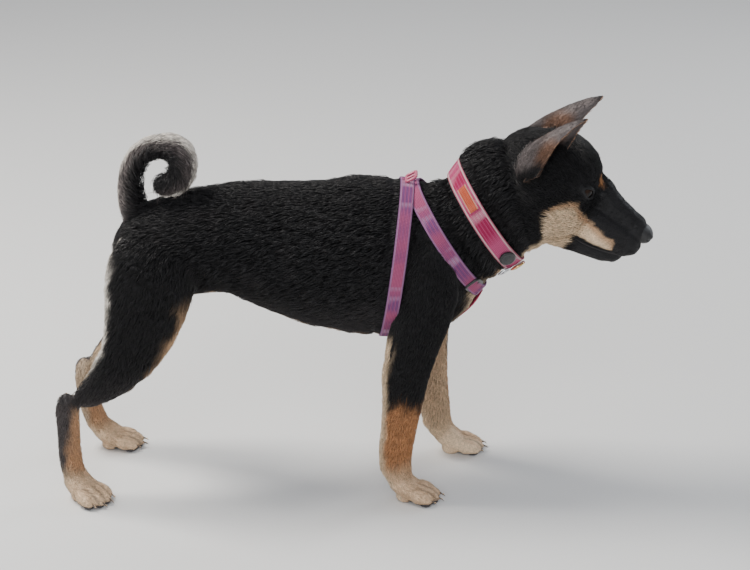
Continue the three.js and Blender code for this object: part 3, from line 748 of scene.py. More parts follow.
def markings(points, normals, regions):
    """The coat's colour at each point, from its place on the animal, its facing and its region, with painted
    shade between the toes, low in the ears and inside the tail's curl.
    """
    mm = dog_mm(points)
    x, y, z = mm.T
    side = np.abs(y)
    rough = waves(mm, 14, 3)
    fine = waves(mm, 5, 4)
    black, orange, cream, white = (panel_colour(name) for name in ("black", "orange", "cream", "white"))
    colours = np.tile(np.array(black), (len(mm), 1))

    trunk = among(regions, "torso", "neck")
    chest = trunk * ramp(x - (z - 190) * 0.35 + rough * 4, 80, 96) * ramp(z + rough * 3, 226, 208)
    belly = trunk * ramp(-normals[:, 2] + rough * 0.05, 0.82, 0.95) * ramp(side, 30, 18)
    colours = layered(
        colours,
        (trunk * ramp(z + rough * 6, 215, 165) * ramp(x, 40, -20) * 0.55, DARK_GREY),
        (trunk * ramp(waves(mm, 30, 5), 0.1, 1.2) * 0.35, DARK_GREY),
        (chest * ramp(side + rough * 2, 33, 22), cream),
        (belly * 0.8, FAWN),
        (trunk * ramp(x + rough * 2, -236, -246) * ramp(z + rough * 3, 262, 250), white),
    )

    fore = among(regions, "foreleg_left", "foreleg_right", "forepaw_left", "forepaw_right")
    inner = ramp(-normals[:, 1] * np.sign(y) + rough * 0.12, 0.1, 0.5)
    colours = layered(
        colours,
        (fore * ramp(z + rough * 7 + fine * 3, 110, 88), orange),
        (fore * inner * ramp(z + rough * 4, 205, 185), TAN),
        (fore * inner * ramp(z + rough * 4, 175, 120) * 0.8, cream),
        (fore * ramp(-normals[:, 0] + rough * 0.1, 0.45, 0.8) * ramp(z, 175, 160), cream),
        (fore * ramp(z + rough * 3, 52, 30) * 0.7, cream),
    )

    hind = among(regions, *(name for name in FLESH if name.startswith(("thigh", "shank", "hock", "hindpaw"))))
    front = ramp(normals[:, 0] + rough * 0.12, 0.45, 0.85)
    rear = ramp(-normals[:, 0] + rough * 0.08, 0.55, 0.9)
    level = z + rough * 5 + fine * 3
    ahead = normals[:, 0] * 0.8 + rough * 0.25 + (60 - z) * 0.012
    shin = hind * ramp(ahead, -0.3, 0.35) * ramp(level, 104, 84)
    colours = layered(
        colours,
        (hind * ramp(z + rough * 6, 150, 100) * 0.75, DARK_GREY),
        (hind * front * ramp(z, 215, 175), FAWN),
        (hind * inner * ramp(z + rough * 4, 235, 205), cream),
        (hind * rear * ramp(z, 120, 150), white),
        (hind * ramp(level, 112, 92) * 0.35, GREY),
        (shin * 0.85, FAWN),
        (shin * 0.5, orange),
        (hind * ramp(z + rough * 3, 40, 22) * 0.7, cream),
        # Painted shade between the toes
        (toe_clefts(points, regions) * 0.55, DARK_GREY),
    )

    tail = among(regions, "tail_base", "tail_middle", "tail_tip")
    outside = off_curl(mm, normals) + rough * 0.15
    colours = layered(
        colours,
        (tail * 0.6, GREY),
        (tail * ramp(outside, 0.45, 0.95) * 0.75, white),
        # Black where the tail faces into its curl: partly its dark coat and partly painted shade inside the
        # curl
        (tail * ramp(outside, 0.0, -0.6) * 0.95, black),
    )

    local = head_local(points)
    colours = face_markings(colours, local, among(regions, "head", "neck"))
    colours = ear_markings(colours, local, regions, normals, fine)
    return np.clip(colours * (1 + 0.12 * fine[:, None]), 0.004, 1)


# Skin


def nearest_regions(points):
    """For each point the index of the flesh node that lies nearest."""
    corners, faces, owner = [], [], []
    for index, name in enumerate(FLESH):
        mesh = node_object(name).data
        start = len(corners)
        corners.extend(v.co[:] for v in mesh.vertices)
        for polygon in mesh.polygons:
            faces.append([start + i for i in polygon.vertices])
            owner.append(index)
    tree = BVHTree.FromPolygons(corners, faces)
    return np.array([owner[tree.find_nearest(p)[2]] for p in points.tolist()])


def joined_flesh(names, grow):
    """The named nodes as one bmesh, each swollen a little so that the thin cuts between them close."""
    bm = bmesh.new()
    for name in names:
        part = bmesh.new()
        part.from_mesh(node_object(name).data)
        bmesh.ops.remove_doubles(part, verts=part.verts, dist=1e-6)
        bmesh.ops.recalc_face_normals(part, faces=part.faces)
        part.normal_update()
        for vertex in part.verts:
            vertex.co += vertex.normal * grow
        merge_into(bm, part)
    return bm


def eye_frame(side):
    """Columns out to the corner, up, and along the gaze, in the head's frame, and the centre."""
    gaze = Vector((EYE_GAZE.x, EYE_GAZE.y * side, EYE_GAZE.z))
    outward = Vector((-EYE_GAZE.y, EYE_GAZE.x * side, 0)).normalized()
    outward = (outward + Vector((0, 0, LID_SLANT))).normalized()
    up = gaze.cross(outward).normalized()
    if up.z < 0:
        up.negate()
    return outward, up, gaze, Vector((EYE_CENTRE.x, EYE_CENTRE.y * side, EYE_CENTRE.z))


def eye_opening(local):
    """1 on the rim of the almond opening of the lids, less inside it, and large far from the eyes."""
    outward, up, gaze, centre = eye_frame(1)
    away = np.column_stack([local[:, 0], np.abs(local[:, 1]), local[:, 2]]) - np.array(centre)
    u, v, out = (away @ np.array(axis) for axis in (outward, up, gaze))
    half, upper, lower = LIDS
    ring = np.hypot(u / half, v / np.where(v > 0, upper, lower))
    return np.where((out > 0) & (out < 15), ring, 9.0)


def lip_height(x):
    return np.interp(x, [30, 33, 50, 63, 77, 88], [-23.5, -22.7, -23.7, -23, -18.4, -16])


def under_straps(points):
    """1 under the webbing and 0 a few millimetres beside it."""
    mm = dog_mm(points)
    pressed = np.zeros(len(points))
    for centre, normal, _, width in (COLLAR, NECK_LOOP, GIRTH):
        away = mm - np.array(centre)
        near = (np.linalg.norm(away, axis=1) < 96) & (np.abs(mm[:, 1]) < 60)
        off = np.abs(away @ np.array(normal))
        pressed = np.maximum(pressed, near * ramp(off, width / 2 + 4, width / 2 + 0.5))
    return pressed


def coat_depth(points, regions, edges):
    """How deep the coat is at each point: thin on the muzzle, and almost nothing on the lids."""
    depth = np.array([REGIONS[n][0] for n in FLESH])[regions][:, None]
    depth = relaxed(depth, edges, 14)
    return depth[:, 0] * face_share(points, 0.28, 0.12) * (1 - 0.5 * under_straps(points))


def face_share(points, muzzle_share, lid_share):
    """1 over the body, falling to the given shares on the muzzle and on the rims of the lids."""
    local = head_local(points)
    muzzle = ramp(local[:, 0], 20, 50) * ramp(np.abs(local[:, 1]), 40, 30) * (local[:, 0] < 110)
    lids = ramp(eye_opening(local), 2.1, 1.2)
    return (1 - (1 - muzzle_share) * muzzle) * (1 - (1 - lid_share) * lids)


def shell(name, names, voxel, rounds, triangles, settings):
    """A smooth skin round the named nodes, inside them by the depth of the coat."""
    mesh = mesh_from(joined_flesh(names, settings.swell * MM), name)
    obj = link(bpy.data.objects.new(name, mesh))
    remesh = obj.modifiers.new("voxels", "REMESH")
    remesh.mode = "VOXEL"
    remesh.voxel_size = voxel * MM
    apply_modifiers(obj)
    points, edges = points_of(obj.data), edges_of(obj.data)
    regions = nearest_regions(points)
    share = np.array([REGIONS[n][4] for n in FLESH])[regions][:, None]
    share = relaxed(share, edges, 6)
    local = head_local(points)
    x, side = local[:, 0], np.abs(local[:, 1])
    # The lips and lids keep their edges where the rest is smoothed
    mouth = (np.abs(local[:, 2] - lip_height(x)) < 4) & (x > 28) & (side < 34)
    detail = np.maximum(ramp(eye_opening(local), 1.7, 1.3), mouth)
    share *= 1 - 0.75 * detail[:, None]
    points = evened(points, edges, rounds, share)
    set_points(obj.data, points)
    depth = coat_depth(points, regions, edges)
    depth -= MUZZLE_FILL * ramp(x, 72, 84) * (side < 30)
    depth -= NAPE_FILL * ramp(np.linalg.norm((local - NAPE) / [1, 1.3, 1], axis=1), 30, 8)
    points -= normals_of(obj.data) * depth[:, None] * MM
    set_points(obj.data, relaxed(points, edges, 1, 0.3))
    thin = obj.modifiers.new("fewer", "DECIMATE")
    thin.ratio = min(1.0, triangles / (2 * len(obj.data.polygons)))
    return apply_modifiers(obj)


def build_skin(settings):
    """One skin for all the flesh: a fine head and a coarser body that meet under the collar."""
    body = shell("skin_body", [n for n in FLESH if n not in FINE], settings.body_voxel, *BODY_SKIN, settings)
    head = shell("skin_head", FINE + ["neck"], settings.head_voxel, *HEAD_SKIN, settings)
    bm = bmesh.new()
    for source, ahead in ((body, False), (head, True)):
        part = bmesh.new()
        part.from_mesh(source.data)
        bmesh.ops.bisect_plane(
            part,
            geom=part.verts[:] + part.edges[:] + part.faces[:],
            plane_co=SHIFT + COLLAR[0] * MM,
            plane_no=COLLAR[1],
            clear_inner=ahead,
            clear_outer=not ahead,
        )
        rim = [edge for edge in part.edges if edge.is_boundary]
        bmesh.ops.holes_fill(part, edges=rim, sides=0)
        bmesh.ops.triangulate(part, faces=part.faces)
        merge_into(bm, part)
        bpy.data.objects.remove(source)
    return finished("skin", mesh_from(bm, "skin"), "skin")


def paint(obj, colours):
    layer = obj.data.color_attributes.new("markings", "FLOAT_COLOR", "POINT")
    made = np.ones((len(colours), 4), dtype=np.float32)
    made[:, :3] = colours
    layer.data.foreach_set("color", made.ravel())


# Coat


def tail_flow(mm):
    """Hair on the tail lies from its root round the curl to its tip."""
    lean = np.full(len(mm), -TAIL_LEAN)
    return unit(np.column_stack([mm[:, 2] - TAIL_HUB[1], lean, TAIL_HUB[0] - 1 - mm[:, 0]]))


def flows(points, regions):
    """The way the hair lies at each point, before it is laid on the surface."""
    made = np.empty((len(points), 3))
    mm = dog_mm(points)
    nose = np.array(HEAD @ Vector((100, 0, 4)))
    for index, name in enumerate(FLESH):
        here = regions == index
        if name == "head":
            made[here] = unit(points[here] - nose)
        elif name.startswith("ear"):
            mesh = node_object(name).data
            top = max((v.co for v in mesh.vertices), key=lambda co: co.z)
            made[here] = unit(np.array(top) - points[here] + 1e-6)
        elif name.startswith("tail"):
            made[here] = tail_flow(mm[here])
        else:
            made[here] = HAIR_LIES[name.split("_")[0]]
    shoulder = (regions == FLESH.index("torso")) * ramp(mm[:, 0], 10, 70)
    made += shoulder[:, None] * np.array([0.2, 0.0, -0.7])
    return unit(made)


def laid(tree, roots, reach, height, normals):
    """Places along the hair at their height above the nearest skin, so that hair follows every curve."""
    spots, turned = [], []
    for place in (roots + reach).tolist():
        spot, normal, _, _ = tree.find_nearest(place)
        spots.append(spot[:])
        turned.append(normal[:])
    turned = np.array(turned)
    facing = np.sum(turned * normals, axis=1)[:, None]
    made = np.array(spots) + turned * height[:, None]
    return np.where(facing > 0.25, made, roots + reach * 0.4 + normals * height[:, None] * 0.6)


def tufts(tree, hair, fine):
    """Thin closed tufts, one for each root: bent and three-sided, or a plain point where short."""
    roots, normals, along = hair["points"], hair["normals"], hair["along"]
    length, width, height = (hair[key][:, None] for key in ("length", "width", "height"))
    across = unit(np.cross(normals, along)) * width / 2
    base = roots - normals * (0.3 * MM)
    ridge = normals * width * 0.45
    tip = laid(tree, roots, along * length, height[:, 0] * 0.92, normals)
    start = [base - across, base + across, base + ridge]
    if fine:
        points = np.stack([*start, tip], axis=1)
        pattern = [[0, 1, 2], [0, 3, 1], [1, 3, 2], [2, 3, 0]]
    else:
        middle = laid(tree, roots, along * length * 0.5, height[:, 0] * 0.85, normals)
        waist = [middle - across * 0.72, middle + across * 0.72, middle + ridge * 0.7]
        points = np.stack([*start, *waist, tip], axis=1)
        pattern = [[0, 1, 2], [0, 3, 4], [0, 4, 1], [1, 4, 5], [1, 5, 2]]
        pattern += [[2, 5, 3], [2, 3, 0], [3, 6, 4], [4, 6, 5], [5, 6, 3]]
    number = points.shape[1]
    triangles = np.array(pattern)[None] + (np.arange(len(roots)) * number)[:, None, None]
    return points.reshape(-1, 3), triangles.reshape(-1, 3)[:, ::-1]


def unwrapped(points, regions):
    """Each region unrolled round its own middle line into its own cell of one square."""
    made = np.zeros((len(points), 2))
    columns = 5
    for index, name in enumerate(FLESH):
        here = regions == index
        low, high = (np.array(corner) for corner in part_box(name))
        size = high - low
        main = int(np.argmax(size))
        first, second = [k for k in range(3) if k != main]
        away = points[here] - (low + high) / 2
        angle = np.arctan2(away[:, second], away[:, first]) / (2 * math.pi) + 0.5
        share = np.clip(away[:, main] / size[main] + 0.5, 0, 1)
        cell = np.array([index % columns, index // columns])
        made[here] = (cell + 0.04 + 0.92 * np.stack([angle, share], axis=1)) / columns
    return made


def choose_roots(skin, settings):
    """Random places on the skin, more where the coat is finer, with what the skin has there."""
    mesh = skin.data
    mesh.calc_loop_triangles()
    corners = read(mesh.loop_triangles, "vertices", 3, np.int32)
    points, normals, edges = points_of(mesh), normals_of(mesh), edges_of(mesh)
    regions = nearest_regions(points)
    table = np.array([REGIONS[n] for n in FLESH])
    traits = relaxed(table[regions], edges, 10)
    flow = relaxed(flows(points, regions), edges, 24)
    flow = unit(flow - normals * np.sum(flow * normals, axis=1, keepdims=True))
    a, b, c = (points[corners[:, k]] for k in range(3))
    area = 0.5 * np.linalg.norm(np.cross(b - a, c - a), axis=1) / MM**2
    near = ramp(eye_opening(head_local(points))[corners[:, 0]], 2.6, 1.6)
    wanted = area * traits[corners[:, 0], 3] * settings.density * (1 + 2.5 * near)
    rng = np.random.default_rng(settings.seed)
    number = np.floor(wanted + rng.random(len(wanted))).astype(int)
    carriers = corners[np.repeat(np.arange(len(wanted)), number)]
    share = rng.random((len(carriers), 2))
    over = share.sum(axis=1) > 1
    share[over] = 1 - share[over]
    weights = np.column_stack([1 - share.sum(axis=1), share])
    fields = {"points": points, "normals": normals, "flow": flow, "traits": traits}
    found = {key: np.einsum("ij,ijk->ik", weights, values[carriers]) for key, values in fields.items()}
    found["normals"] = unit(found["normals"])
    found["regions"] = regions[carriers[:, 0]]
    return found, rng


def bare(points):
    """True where no hair grows: on the nose, inside the lids and on the soles."""
    local = head_local(points)
    gone = eye_opening(local) < 1.08
    gone |= np.linalg.norm((local - NOSE_CENTRE) / NOSE_RADII, axis=1) < 1.03
    gone |= (local[:, 0] > 86) & (np.abs(local[:, 1]) < 1.2) & (local[:, 2] < 4)
    return gone | (points[:, 2] < 0.8 * MM)


def comb(found, rng):
    """Gives each tuft its lie, length, width, height and colour."""
    points, normals, regions = found["points"], found["normals"], found["regions"]
    count = len(points)
    mm = dog_mm(points)
    local = head_local(points)
    shares = (DEPTH_SHARES, LENGTH_SHARES, WIDTH_SHARES)
    depth, length, width = (found["traits"][:, k] * face_share(points, *shares[k]) for k in range(3))
    clump = waves(mm, 7, 21)
    across = np.cross(normals, found["flow"])
    turn = (0.2 * waves(mm, 16, 22) + 0.12 * clump + rng.normal(0, 0.13, count))[:, None]
    found["along"] = unit(found["flow"] + across * turn)
    length = length * np.clip(rng.normal(1, 0.18, count) + 0.1 * clump, 0.5, 1.5)
    height = depth * np.clip(0.86 + 0.16 * clump + rng.normal(0, 0.13, count), 0.3, 1.4)
    for name, root, tip in EARS:
        here = among(regions, name)
        low = ramp(along_ear(local, root, tip)[0], 0.45, 0.0) * here
        inside = ramp(ear_facing(normals), 0.0, 0.4) * here
        length *= 1 + 0.9 * low + 0.3 * inside
        height *= 1 + 2.0 * low + 0.8 * inside
    tail = among(regions, "tail_base", "tail_middle", "tail_tip")
    height *= 1 + 0.7 * tail * ramp(off_curl(mm, normals), 0.1, -0.6)
    along_hair = [points + found["along"] * (length * share * MM)[:, None] for share in (0, 0.5, 1)]
    pressed = np.max([under_straps(places) for places in along_hair], axis=0)
    height = np.where(pressed > 0.02, np.minimum(height, depth * (1 - 0.66 * pressed)), height)
    found["height"] = np.clip(height, 0.1, None) * MM
    found["length"] = length * MM
    found["width"] = width * np.clip(rng.normal(1, 0.2, count), 0.5, 1.6) * MM
    shade = 1 + 0.14 * clump + rng.normal(0, 0.13, count)
    found["colours"] = np.clip(markings(points, normals, regions) * shade[:, None], 0.003, 1)
    found["patch"] = unwrapped(points, regions)
    return found


def build_coat(skin, settings):
    """Tufts over the whole skin, in pieces of under two hundred thousand triangles."""
    tree = BVHTree.FromObject(skin, bpy.context.evaluated_depsgraph_get())
    found, rng = choose_roots(skin, settings)
    keep = ~bare(found["points"])
    found = comb({key: value[keep] for key, value in found.items()}, rng)
    short = found["length"] < SHORT_HAIR * MM
    patch = np.array([[-1, -1], [1, -1], [0, 0], [-1, 0], [1, 0], [0, 0.5], [0, 1]]) * HALF_PATCH
    number = 0
    for fine in (True, False):
        # Each tuft is painted darker at its root as painted shade inside the coat, and lighter at its tip
        shade = np.array([0.7, 0.7, 0.8, 1.25] if fine else [0.65, 0.65, 0.75, 0.95, 0.95, 1.05, 1.25])
        spread = patch[[0, 1, 2, 6]] if fine else patch
        same = np.flatnonzero(short == fine)
        order = same[np.argsort(found["regions"][same], kind="stable")]
        per_piece = settings.piece_triangles // (4 if fine else 10)
        for start in range(0, len(order), per_piece):
            take = order[start : start + per_piece]
            hair = {key: value[take] for key, value in found.items()}
            points, triangles = tufts(tree, hair, fine)
            number += 1
            piece = triangles_object(f"coat_{number:02d}", points, triangles, "coat")
            tints = hair["colours"][:, None] * shade[None, :, None]
            paint(piece, np.clip(tints, 0.002, 1).reshape(-1, 3))
            uv = (hair["patch"][:, None] + spread[None]).reshape(-1, 2)
            layer = piece.data.uv_layers.new(name="OFBake")
            layer.data.foreach_set("uv", uv[triangles.ravel()].astype(np.float32).ravel())
            finish_piece(piece)


# Eyes, nose, mouth and claws


def head_point(x, y, z):
    return HEAD @ Vector((x, y, z))


def build_eye(name, side):
    """A ball with a bulging cornea; each point carries how far it is from the gaze."""
    _, _, gaze, centre = eye_frame(side)
    bm = bmesh.new()
    bmesh.ops.create_uvsphere(bm, u_segments=64, v_segments=40, radius=1.0)
    turn = gaze.to_track_quat("Z", "Y").to_matrix()
    away = []
    for vertex in bm.verts:
        out = turn @ vertex.co.normalized()
        off = math.acos(max(-1.0, min(1.0, out.dot(gaze)))) / math.pi
        away.append(min(1.0, off * 2.4))
        bulge = 0.35 * max(0.0, 1 - (off / 0.2) ** 2)
        vertex.co = HEAD @ (centre + out * (EYE_RADIUS - 0.25 + bulge))
    ball = finished(name, mesh_from(bm, name), "eye")
    ball.data.attributes.new("from_gaze", "FLOAT", "POINT").data.foreach_set("value", away)
    return finish_piece(ball, [name.replace("_ball", "")])


def joined(parts):
    """The points and faces of several parts as one list each."""
    points, faces = [], []
    for ring, skinned in parts:
        faces += [tuple(i + len(points) for i in face) for face in skinned]
        points += ring
    return points, faces


def turns(count):
    """Even angles round a whole circle."""
    return [2 * math.pi * k / count for k in range(count)]


def circle(centre, axis, radius, count):
    """A closed path round an axis."""
    first = axis.orthogonal().normalized()
    second = axis.cross(first)
    return [centre + (first * math.cos(angle) + second * math.sin(angle)) * radius for angle in turns(count)]


def sleeve(count, sides, closed):
    """The faces that join rings of points in a row, with the ends capped where it isn't closed."""
    faces = []
    for i in range(count if closed else count - 1):
        here, there = i * sides, (i + 1) % count * sides
        for k in range(sides):
            after = (k + 1) % sides
            faces.append((here + k, here + after, there + after, there + k))
    if not closed:
        faces.append(tuple(range(sides))[::-1])
        faces.append(tuple((count - 1) * sides + k for k in range(sides)))
    return faces


def tube(path, radius_at, sides, closed=False, ups=None):
    """Points and faces of a tube along a list of points; radius_at gives (height, width) at a share."""
    count = len(path)
    points = []
    for i, here in enumerate(path):
        ahead = path[(i + 1) % count] if closed or i + 1 < count else here
        behind = path[i - 1] if closed or i else here
        along = (ahead - behind).normalized()
        up = ups[i] if ups else Vector((0, 0, 1))
        side = along.cross(up).normalized()
        lift = side.cross(along)
        tall, wide = radius_at(i / max(1, count - 1))
        for angle in turns(sides):
            points.append(here + side * (math.cos(angle) * wide) + lift * (math.sin(angle) * tall))
    return points, sleeve(count, sides, closed)


def build_lids():
    """Dark lid rims round the almond opening of each eye."""
    half, upper, lower = LIDS
    rims = []
    for side in (1, -1):
        outward, up, gaze, centre = eye_frame(side)
        path = []
        for angle in turns(56):
            u = math.cos(angle) * half
            rise = upper if math.sin(angle) > 0 else lower
            v = math.sin(angle) * rise * (1 - 0.35 * abs(u / half) ** 2)
            v += 0.9 * u / half - 0.1
            flat = outward * u + up * v
            out = (gaze * math.sqrt(max(4.0, EYE_RADIUS**2 - flat.length_squared)) + flat).normalized()
            path.append(HEAD @ (centre + out * (EYE_RADIUS + 0.6)))
        middle = sum(path, Vector()) / len(path)
        ups = [(p - middle).normalized() for p in path]
        rims.append(tube(path, lambda t: (0.6 * MM, 0.7 * MM), 8, True, ups))
    return finish_piece(mesh_object("eyelid_rims", *joined(rims), "rim"))


def build_nose():
    """The nose leather: a soft wedge with comma nostrils, side slits and a middle groove."""
    bm = bmesh.new()
    bmesh.ops.create_icosphere(bm, subdivisions=6, radius=1.0)
    mesh = mesh_from(bm, "nose_leather")
    out = points_of(mesh)
    soft = np.sign(out) * np.abs(out) ** np.array([0.9, 0.82, 0.86])
    local = soft * np.array(NOSE_RADII)
    x, y, z = local[:, 0], np.abs(local[:, 1]), local[:, 2]
    front = ramp(out[:, 0], -0.1, 0.35)
    hole = np.hypot(y - 4.5, (z + 0.2) * 1.15)
    depth = 3.4 * ramp(hole, 2.5, 1.2) * front
    slit = np.abs(z + 1.0 + 0.16 * (y - 4.5)) + 1.2 * np.maximum(0, 4.5 - y)
    depth = np.maximum(depth, 1.5 * ramp(slit, 1.1, 0.2) * ramp(y, 10.6, 9) * ramp(out[:, 0], -0.3, 0))
    groove = 0.9 * ramp(y, 1.3, 0.1) * ramp(z, 3.5, -1) * front
    wing = 0.55 * ramp(np.hypot(y - 6.8, z - 2.4), 3.4, 0.5) * front
    local = local * (1 - (depth * 0.9 + groove - wing)[:, None] / 9)
    local[:, 0] -= depth * 0.55
    local[:, 2] -= 0.05 * np.maximum(0, x) * ramp(z, 0, 6)
    world = (local + np.array(NOSE_CENTRE)) @ np.array(HEAD)[:3, :3].T + np.array(HEAD)[:3, 3]
    set_points(mesh, world)
    return finish_piece(finished("nose_leather", mesh, "nose"), ["nose"])


def seen_from_side(tree, x, side, z, middle_x):
    """Where a ray from beside the head to its middle plane meets the skin, or None."""
    start = head_point(x, 60 * side, z)
    return tree.ray_cast(start, (head_point(middle_x, 0, z) - start).normalized())[0]


def build_whiskers(skin):
    """Thin bent whiskers on each lip and a few above each eye."""
    tree = BVHTree.FromObject(skin, bpy.context.evaluated_depsgraph_get())
    rng = np.random.default_rng(WHISKER_SEED)
    hairs = []
    places = [(62 + 7.0 * row, -13 + 4.2 * line, 1.0) for row in range(3) for line in range(3)]
    places += [(24, 33, 0.7), (27, 35, 0.6)]
    turn = HEAD.to_3x3()
    for side in (1, -1):
        for x, z, share in places:
            hit = seen_from_side(tree, x, side, z, x)
            if hit is None:
                continue
            out = (turn @ Vector((-0.25 + rng.normal(0, 0.12), side, -0.25))).normalized()
            back = (turn @ Vector((-1, 0.1 * side, -0.2))).normalized()
            reach = rng.uniform(13, 21) * share * MM
            path = [hit + out * reach * t + back * reach * 0.5 * t**2 for t in np.linspace(-0.05, 1, 7)]
            hairs.append(tube(path, lambda t: (0.16 * MM * (1 - 0.85 * t),) * 2, 4))
    return finish_piece(mesh_object("whiskers", *joined(hairs), "whisker"))


def build_lips(skin):
    """A dark lip line from each corner of the mouth to the front, laid on the skin."""
    tree = BVHTree.FromObject(skin, bpy.context.evaluated_depsgraph_get())
    xs = np.linspace(33, 86, 40)
    zs = np.interp(xs, *zip(*MOUTH_LINE))
    left, right = (
        [seen_from_side(tree, x, side, z, x - 2) or head_point(x - 2, 0, z) for x, z in zip(xs, zs)]
        for side in (1, -1)
    )
    line = left + [head_point(88.5, y, -16.8) for y in (4, 0, -4)] + right[::-1]
    for _ in range(6):
        inner = [(a + b * 2 + c) / 4 for a, b, c in zip(line, line[1:], line[2:])]
        line = [line[0], *inner, line[-1]]

    def thickness(t):
        taper = min(1, 8 * min(t, 1 - t) + 0.25)
        return 0.75 * MM * taper, 0.9 * MM * taper

    return finish_piece(mesh_object("lip_line", *tube(line, thickness, 8), "rim"))


def paw_place(x, y, turn, side):
    """From a paw's own frame in mm to the row frame."""
    place = Matrix.Translation(SHIFT + Vector((x, y * side, 0)) * MM)
    return place @ Matrix.Rotation(math.radians(turn * side), 4, "Z") @ Matrix.Scale(MM, 4)


def build_claws():
    """Sixteen curved claws, four to a paw, each with its root in its toe."""
    claws = []
    shares = [k / 7 for k in range(8)]
    for paw in PAWS.values():
        place = paw_place(*paw)
        for across, reach in TOES:
            path = [place @ Vector((reach - 1.5 + 8.6 * t, across * 1.09, 6.6 - 3.6 * t**2)) for t in shares]
            claws.append(tube(path, lambda t: (1.5 * MM * (1 - 0.86 * t), 1.15 * MM * (1 - 0.86 * t)), 8))
    obj = mesh_object("claws", *joined(claws), "claw")
    along = [share for _ in claws for share in shares for _ in range(8)]
    obj.data.attributes.new("along", "FLOAT", "POINT").data.foreach_set("value", along)
    return finish_piece(obj)


def build_pads():
    """Bare pads under the paws: one main pad and four toe pads each, flat on the floor."""
    bm = bmesh.new()
    for paw in PAWS.values():
        eggs = [((11, 0, 3.2), (9, 10, 3.2))]
        eggs += [((reach - 4, across * 1.05, 2.6), (5.5, 4.2, 2.6)) for across, reach in TOES]
        for centre, radii in eggs:
            shape = paw_place(*paw) @ Matrix.Translation(centre) @ Matrix.Diagonal((*radii, 1))
            bmesh.ops.create_uvsphere(bm, u_segments=20, v_segments=12, radius=1.0, matrix=shape)
    return finish_piece(finished("paw_pads", mesh_from(bm, "paw_pads"), "pad"))


# Webbing and fittings


def build_strap(name, strap, finish, angles=(0, 360), lift=0.0, piece=None):
    """Smooth webbing over the outer face of a CAD strap, with rounded edges and a woven lay."""
    centre, normal, start, width = strap
    low, high = angles
    closed = high - low >= 360
    steps = 200 if closed else 70
    turned = start.cross(normal).normalized()
    trees = []
    for node in (name, "torso", "neck"):
        mesh = node_object(node).data
        corners = [vertex.co for vertex in mesh.vertices]
        trees.append(BVHTree.FromPolygons(corners, [face.vertices for face in mesh.polygons]))
    heights = np.zeros((3, steps))
    directions = []
    for i in range(steps):
        angle = math.radians(low + (high - low) * i / (steps if closed else steps - 1))
        away = start * math.cos(angle) + turned * math.sin(angle)
        directions.append(away)
        for row, shift in enumerate((-0.42, 0, 0.42)):
            origin = SHIFT + (centre + normal * (shift * width) + away * RAY_REACH) * MM
            hits = [tree.ray_cast(origin, -away)[0] for tree in trees]
            reach = [RAY_REACH - (hit - origin).length / MM if hit else -1.0 for hit in hits]
            reach = max(reach[0], reach[1] + 0.8, reach[2] + 0.8)
            heights[row, i] = reach if reach > NEAREST_HIT else np.nan
    for row in heights:
        good = ~np.isnan(row)
        row[~good] = np.interp(np.flatnonzero(~good), np.flatnonzero(good), row[good])
    for _ in range(10):
        if closed:
            heights = (np.roll(heights, 1, 1) + 2 * heights + np.roll(heights, -1, 1)) / 4
        else:
            heights[:, 1:-1] = (heights[:, :-2] + 2 * heights[:, 1:-1] + heights[:, 2:]) / 4
    heights = 0.7 * heights + 0.3 * heights.mean(axis=0)
    section = []
    for k in range(13):
        u = -1 + k / 6
        section.append((u, -0.35 * max(0.0, abs(u) - 0.86) / 0.14))
    section += [(u, -WEBBING_THICKNESS) for u in (1, 0.5, 0, -0.5, -1)]
    points, lay, rim = [], [], []
    run = 0.0
    for i, away in enumerate(directions):
        if i:
            run += (directions[i] - directions[i - 1]).length * heights[1, i] * MM
        for u, drop in section:
            height = np.interp(u, [-1, 0, 1], heights[:, i]) + drop + lift
            points.append(SHIFT + (centre + normal * (u * width / 2) + away * height) * MM)
            lay.append((run, u * width / 2 * MM, 0))
            rim.append(abs(u))
    faces = sleeve(steps, len(section), closed)
    obj = mesh_object(piece or name + "_webbing", points, faces, finish)
    vectors = obj.data.attributes.new("lay", "FLOAT_VECTOR", "POINT")
    vectors.data.foreach_set("vector", np.array(lay, dtype=np.float32).ravel())
    obj.data.attributes.new("selvedge", "FLOAT", "POINT").data.foreach_set("value", rim)
    return finish_piece(obj, [] if piece else [name])


def plate_axes(name):
    """The middle of a small flat CAD fitting with its long, short and thin directions."""
    corners = points_of(node_object(name).data)
    low, high = corners.min(axis=0), corners.max(axis=0)
    centre = (low + high) / 2
    axes = main_axes(corners)
    spans = [np.ptp(corners @ axis) for axis in axes]
    order = np.argsort(spans)[::-1]
    return Vector(centre), [Vector(axes[k]) for k in order], [spans[k] for k in order]


def build_slider(name, finish, across):
    """A webbing slider: a rounded frame with a middle bar, moulded in one piece."""
    centre, (_, _, thin), _ = plate_axes(name)
    first = (across - thin * across.dot(thin)).normalized()
    second = thin.cross(first)
    corners = points_of(node_object(name).data)
    half_long, half_wide = (np.ptp(corners @ np.array(axis)) / 2 - 1.5 * MM for axis in (first, second))
    path = []
    for angle in turns(72):
        u, v = (math.copysign(abs(share) ** 0.36, share) for share in (math.cos(angle), math.sin(angle)))
        path.append(centre + first * (u * half_long) + second * (v * half_wide))
    frame_tube = tube(path, lambda t: (1.35 * MM, 1.6 * MM), 10, True, [thin] * 72)
    bar = [centre + first * (half_long * t) for t in np.linspace(-1, 1, 9)]
    bar_tube = tube(bar, lambda t: (1.1 * MM, 1.5 * MM), 10, False, [thin] * 9)
    obj = mesh_object(name + "_frame", *joined([frame_tube, bar_tube]), finish)
    return finish_piece(obj, [name])


